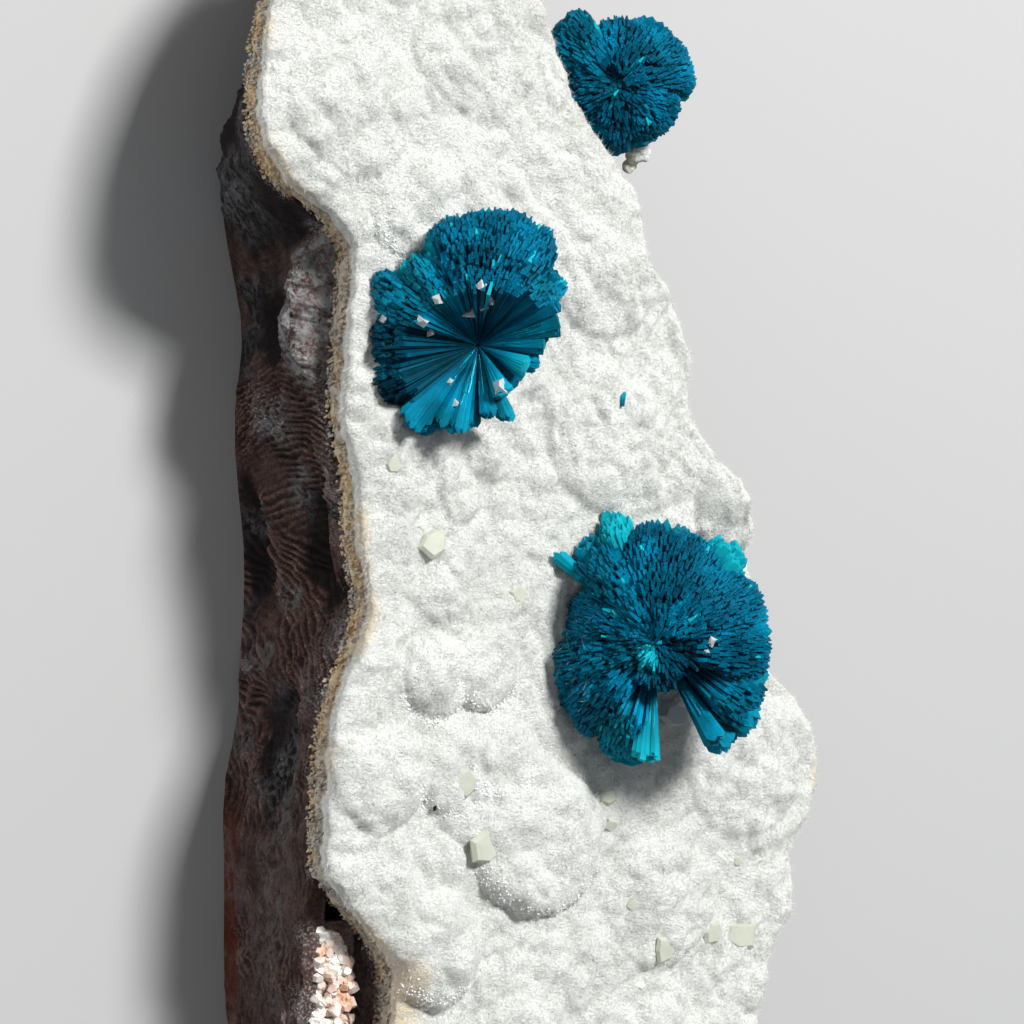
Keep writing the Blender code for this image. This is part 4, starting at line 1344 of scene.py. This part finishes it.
# Corners and faces of one coffin-shaped crystal, standing on z = 0, about one size wide.
def blockCrystal(random, size, height):
    outline = np.array(((-0.5, -0.2), (-0.15, -0.46), (0.36, -0.4), (0.52, 0.02), (0.2, 0.44), (-0.34, 0.38)))
    outline = outline * random.uniform(0.72, 1.25, (6, 1))
    tilt = random.uniform(-0.35, 0.35, 2)
    rings = []
    for scale, level in ((0.9, 0.0), (1.0, 0.5), (0.76, 1.0)):
        ring = np.column_stack((outline * scale, np.full(6, level * height)))
        if level:
            ring[:, 2] += ring[:, :2] @ tilt * height
        rings.append(ring)
    points = np.concatenate(rings) @ anyTurn(random) * size
    faces = ringFaces(3, 6) + [[5, 4, 3, 2, 1, 0], [12, 13, 14, 15, 16, 17]]
    return points, faces


# A low four-sided wedge, the habit of the tiny ones on the rosettes.
def wedgeCrystal(random, size):
    base = np.array(((-0.5, -0.36, -0.2), (0.55, -0.3, -0.2), (0.4, 0.4, -0.2), (-0.42, 0.36, -0.2)))
    ridgeAndShade = np.array(((-0.12, 0.02, 0.55), (0.22, -0.04, 0.5)))
    points = np.concatenate((base, ridgeAndShade)) * random.uniform(0.85, 1.15, (6, 3))
    return points @ anyTurn(random) * size, [[3, 2, 1, 0], [0, 1, 5, 4], [1, 2, 5], [2, 3, 4, 5], [3, 0, 4]]


# Turns points so that their +Z runs along normal.
def leanTo(points, normal):
    turn = Vector((0, 0, 1)).rotation_difference(Vector(normal)).to_matrix()
    return points @ np.array(turn).T


# Where the line of sight through a pixel first meets a surface, and that surface's way out.
def seenAt(tree, pixel):
    start, along = rayThrough(pixel)
    hit = tree.ray_cast(Vector(start), Vector(along))
    if not hit[0]:
        return None, None
    normal = np.array(hit[1])
    return np.array(hit[0]), normal if normal @ along < 0 else -normal


def makeHeulandites():
    values = heulanditeValues
    random = np.random.default_rng(401)
    names = sorted(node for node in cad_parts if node.startswith("heulandite_crystal_"))
    for number, node in enumerate(names, 1):
        middle, low, high = boxOf(node)
        size = (high - low)[:2].mean()
        isClear = node == values["whitenedInShade"]
        height = values["clearHeight"] if isClear else values["height"]
        points, faces = blockCrystal(random, size * values["width"], height)
        place, normal = dropOnto(crustTree, middle[0], middle[1])
        points = leanTo(points, (normal + (0, 0, 4)) / 5) + place - (0, 0, values["sink"] * size)
        # The crystal in the cleft gets the whiter clear skin, partly as painted light within the rosette's
        # shadow.
        skin = clearSkin if isClear else cloudySkin
        makePiece(f"heulandite{number}", points, faces, skin, "heulandite", (node,), smooth=False)
    flakes = []
    for across, down, size in flakePixels:
        place, normal = seenAt(crustTree, (across, down))
        points, faces = blockCrystal(random, size, values["flakeHeight"])
        flakes.append((leanTo(points, normal) + place - normal * size * values["flakeSink"], faces))
    makePiece("heulanditeFlakes", *gather(flakes), cloudySkin, "heulandite", smooth=False)


def makePerched():
    random = np.random.default_rng(402)
    toward = cameraAxes()[2]
    crystals = []
    for across, down, size, name in perchedPixels:
        place, normal = seenAt(rosetteTrees[name], (across, down))
        if place is not None:
            points, faces = wedgeCrystal(random, size)
            crystals.append((leanTo(points, unit(normal + toward)) + place, faces))
    makePiece("perchedCrystals", *gather(crystals), clearSkin, "heulandite", smooth=False)


cloudySkin = heulanditeMaterial(
    "heulandite", heulanditeValues["cloudy"], heulanditeValues["tint"], heulanditeValues["transmission"]
)
clearSkin = heulanditeMaterial(
    "clear heulandite",
    heulanditeValues["clear"],
    heulanditeValues["clear"],
    heulanditeValues["clearTransmission"],
)
makeHeulandites()
makePerched()
print("crystals made")


# The open hollow at the lower left: a floor of dark rock with a crevice, under a coat of pinkish crystals.
hollowValues = dict(
    low=-39.4,
    high=-24.0,
    columns=60,
    rows=150,
    leftInset=0.35,  # the floor starts this far inside the rock's rim
    underCrust=1.2,  # and runs this far under the crust
    floorDrop=0.25,
    floorRough=0.14,
    thickness=3.2,
    crystals=640,
    bareEdge=1.75,  # no crystals this close to the crust
    size=(0.28, 0.78),
    height=(0.7, 1.3),  # of a crystal's width
    sink=0.2,
    untidiness=0.5,
    pink=(0.74, 0.60, 0.52),
    white=(0.80, 0.77, 0.71),
    orange=(0.66, 0.36, 0.20),
    finish={"Roughness": 0.3, "IOR": 1.5},
    # The ridge mark of 0.8 leaves the floor's rock with little painted shade.
    floorMarks={"smear": 0.35, "sparkle": 0.5, "ridgeAndShade": 0.8},  # how far these show on the floor's rock
)
# The crevice beside the crust, from its lower end upward: x, y, half width, depth.
crevice = (
    (-11.2, -40.0, 0.7, 2.4),
    (-11.9, -35.0, 0.8, 2.6),
    (-12.5, -29.0, 0.75, 2.6),
    (-12.9, -24.0, 0.25, 1.2),
)


# The floor as a block whose top is a fine grid. The crystals need the top as a search tree.
def makeHollowFloor():
    values = hollowValues
    shares = np.meshgrid(np.linspace(0, 1, values["columns"]), np.linspace(0, 1, values["rows"]))
    across, along = shares[0].ravel(), shares[1].ravel()
    y = blend(values["low"], values["high"], along)
    left = np.interp(y, rockRims[0], rockRims[1]) + values["leftInset"]
    right = np.interp(y, crustEdges[0], crustEdges[1]) + values["underCrust"]
    x = blend(left, right, across)
    z = seamAt(x) - values["floorDrop"]
    at = np.array(crevice)
    middle, width, depth = [np.interp(y, at[:, 1], at[:, k]) for k in (0, 2, 3)]
    flat = np.stack((x, y, 0 * x), axis=1)
    away = np.abs(x - middle + 0.25 * smoothNoise(flat, 1.2, 501)) / width
    z = z - depth * np.clip(1.25 - away, 0, 1) ** 0.8 + values["floorRough"] * layeredNoise(flat, 0.8, 3, 502)
    top = np.stack((x, y, z), axis=1)
    around = gridEdge(values["rows"], values["columns"])
    under = top[around]
    under[:, 2] = seamAt(x[around]) - values["floorDrop"] - values["thickness"]
    points = np.concatenate((top, under))
    lower = np.arange(len(around)) + len(top)
    topFaces = gridFaces(values["rows"], values["columns"])
    faces = topFaces + wallFaces(lower, around) + [lower[::-1].tolist()]
    marks = {label: np.full(len(points), number) for label, number in values["floorMarks"].items()}
    makePiece("hollowFloor", points, faces, rockSkin, "basalt", marks=marks)
    return BVHTree.FromPolygons(top.tolist(), topFaces)


def hollowMaterial():
    values = hollowValues
    material, tree, shader = newMaterial("hollow heulandite", values["finish"])
    cloud = noiseNode(tree, objectPoint(tree, (1.0, 0.5, 1.0)), 1.3, 4.0)
    body = rampNode(tree, cloud, ((0.34, values["orange"]), (0.44, values["pink"]), (0.58, values["white"])))
    tree.links.new(body, shader.inputs["Base Color"])
    return material


def makeHollowCrystals(floorTree):
    values = hollowValues
    random = np.random.default_rng(503)
    crystals = []
    while len(crystals) < values["crystals"]:
        y = random.uniform(values["low"] + 0.8, values["high"] - 0.6)
        left = np.interp(y, rockRims[0], rockRims[1]) + values["leftInset"] + 0.2
        right = np.interp(y, crustEdges[0], crustEdges[1]) - values["bareEdge"]
        x = random.uniform(left, max(right, left + 0.2))
        place, normal = dropOnto(floorTree, x, y)
        if place is None:
            continue
        size = random.uniform(*values["size"]) ** 1.2
        points, faces = blockCrystal(random, size, random.uniform(*values["height"]))
        normal = unit(normal + random.normal(0, values["untidiness"], 3))
        crystals.append((leanTo(points, normal) + place - normal * size * values["sink"], faces))
    points, faces = gather(crystals)
    skin = hollowMaterial()
    makePiece("hollowCrystals", points, faces, skin, "hollow_heulandite", ("hollow_crystals",), smooth=False)


makeHollowCrystals(makeHollowFloor())
print("hollow made")


# Small loose things: a blue splinter, a dark fleck, felt that hangs under a rosette, and hairs of felt.
smallValues = dict(
    # The tufts of hanging felt: pixel across and down, radius, and height over the floor.
    hangingTufts=((638, 151, 0.75, 11.0), (634, 157, 0.5, 10.6), (629, 166, 0.42, 10.4)),
    splinterLift=0.12,
    fleckPixel=(435, 808),
    fleckSize=0.42,
    hairPixels=(554, 620, 588, 710),  # left, top, right and bottom of the right rosette's hairy edge
    hairs=36,
    hairThickness=0.012,
)


# Two laths side by side, lying on the felt.
def makeSplinter():
    middle, low, high = boxOf("cavansite_splinter")
    ground = dropOnto(crustTree, middle[0], middle[1])[0]
    random = np.random.default_rng(601)
    rows = []
    for shift in (-0.07, 0.06):
        start = np.array((middle[0] + shift, low[1], ground[2] + smallValues["splinterLift"]))
        way = unit(np.array((0.12, 1.0, 0.02)))
        broad = unit(np.cross(way, (0, 0, 1)))
        # The last two numbers are the laths' tone and the painted glow at their ends.
        rows.append(np.concatenate((start, way, broad, (0.85 + shift, 0.09, 0.14, 0.3, 1.2, 0.8, 0.6))))
    points, faces, marks = lathMesh(np.array(rows), random, 0.7)
    node, skin = "cavansite_splinter", cavansiteSkin
    makePiece("cavansiteSplinter", points, faces, skin, "cavansite", (node,), smooth=False, marks=marks)


def makeFleck():
    place, normal = seenAt(crustTree, smallValues["fleckPixel"])
    points, faces = blockCrystal(np.random.default_rng(602), smallValues["fleckSize"], 0.3)
    points = leanTo(points * (0.45, 1.25, 1.0), normal) + place
    # A ridge mark of nought darkens the fleck to near black through the rock's painted-shade ramp.
    marks = {label: np.zeros(len(points)) for label in ("smear", "sparkle", "ridgeAndShade")}
    makePiece("darkFleck", points, faces, rockSkin, "basalt", smooth=False, marks=marks)


# Where the line of sight through a pixel comes down to a height.
def placeAtHeight(pixel, height):
    start, along = rayThrough(pixel)
    return start + along * (height - start[2]) / along[2]


def makeHangingFelt():
    tufts = []
    for across, down, radius, height in smallValues["hangingTufts"]:
        points, faces = ballShape(4, radius)
        points = points * (1 + 0.25 * layeredNoise(points, 0.45, 3, 603))[:, None]
        tufts.append((points + placeAtHeight((across, down), height), faces))
    points, faces = gather(tufts)
    marks = {"stain": np.zeros(len(points))}
    makePiece("hangingFelt", points, faces, feltSkin, "mordenite", marks=marks)


def makeHairs():
    random = np.random.default_rng(604)
    right, up, toward = cameraAxes()
    left, top, rightPixel, bottom = smallValues["hairPixels"]
    roots, tips = [], []
    for _ in range(smallValues["hairs"]):
        pixel = (random.uniform(left, rightPixel), random.uniform(top, bottom))
        place = seenAt(rosetteTrees["Right"], pixel)[0]
        if place is None:
            continue
        angle = random.normal(1.0, 0.5)
        way = right * math.cos(angle) + up * math.sin(angle) + toward * random.uniform(0.0, 0.5)
        roots.append(place - way * 0.3)
        tips.append(place + way * random.uniform(0.3, 1.1))
    points, faces = makeSpikes(np.array(roots), np.array(tips), smallValues["hairThickness"])
    makePiece("rosetteHairs", points, faces, fibreSkin, "mordenite", smooth=False)


makeSplinter()
makeFleck()
makeHangingFelt()
makeHairs()
print("small things made")


# Floor and light.
studioValues = dict(
    floorSize=3.0,  # metres, as all the sizes here
    floorDrop=0.00002,  # below the part's flat back, so that the two faces don't flicker
    floorFinish={"Base Color": (0.44, 0.44, 0.435, 1), "Roughness": 0.9},
    worldColour=(0.80, 0.83, 0.88, 1),
    worldStrength=0.31,
    lightDistance=0.55,
    keyPower=4.5,
    keySize=0.12,
    keyAim=(0.60, 0.48, 0.64),  # right, up and toward the camera
    fillPower=1.7,
    fillSize=0.24,
    fillAim=(-0.75, 0.55, 0.45),
)


def makeFloor():
    size, level = studioValues["floorSize"] / 2, -studioValues["floorDrop"]
    data = bpy.data.meshes.new("floor")
    corners = [(size * x, size * y, level) for x, y in ((-1, -1), (1, -1), (1, 1), (-1, 1))]
    data.from_pydata(corners, [], [(0, 1, 2, 3)])
    data.materials.append(newMaterial("floor", studioValues["floorFinish"])[0])
    floor = bpy.data.objects.new("floor", data)
    bpy.context.scene.collection.objects.link(floor)


def makeLight(name, power, size, aim):
    right, up, toward = cameraAxes()
    way = unit(right * aim[0] + up * aim[1] + toward * aim[2])
    lamp = bpy.data.lights.new(name, "AREA")
    lamp.energy = power
    lamp.size = size
    light = bpy.data.objects.new(name, lamp)
    light.location = Vector(way) * studioValues["lightDistance"]
    light.rotation_euler = Vector(way).to_track_quat("Z", "Y").to_euler()
    bpy.context.scene.collection.objects.link(light)


def makeStudio():
    values = studioValues
    makeFloor()
    makeLight("keyLight", values["keyPower"], values["keySize"], values["keyAim"])
    makeLight("fillLight", values["fillPower"], values["fillSize"], values["fillAim"])
    world = bpy.data.worlds.new("studio")
    world.use_nodes = True
    background = world.node_tree.nodes["Background"]
    background.inputs["Color"].default_value = values["worldColour"]
    background.inputs["Strength"].default_value = values["worldStrength"]
    bpy.context.scene.world = world
    bpy.context.scene.view_settings.view_transform = "Standard"


makeStudio()
print("studio ready")
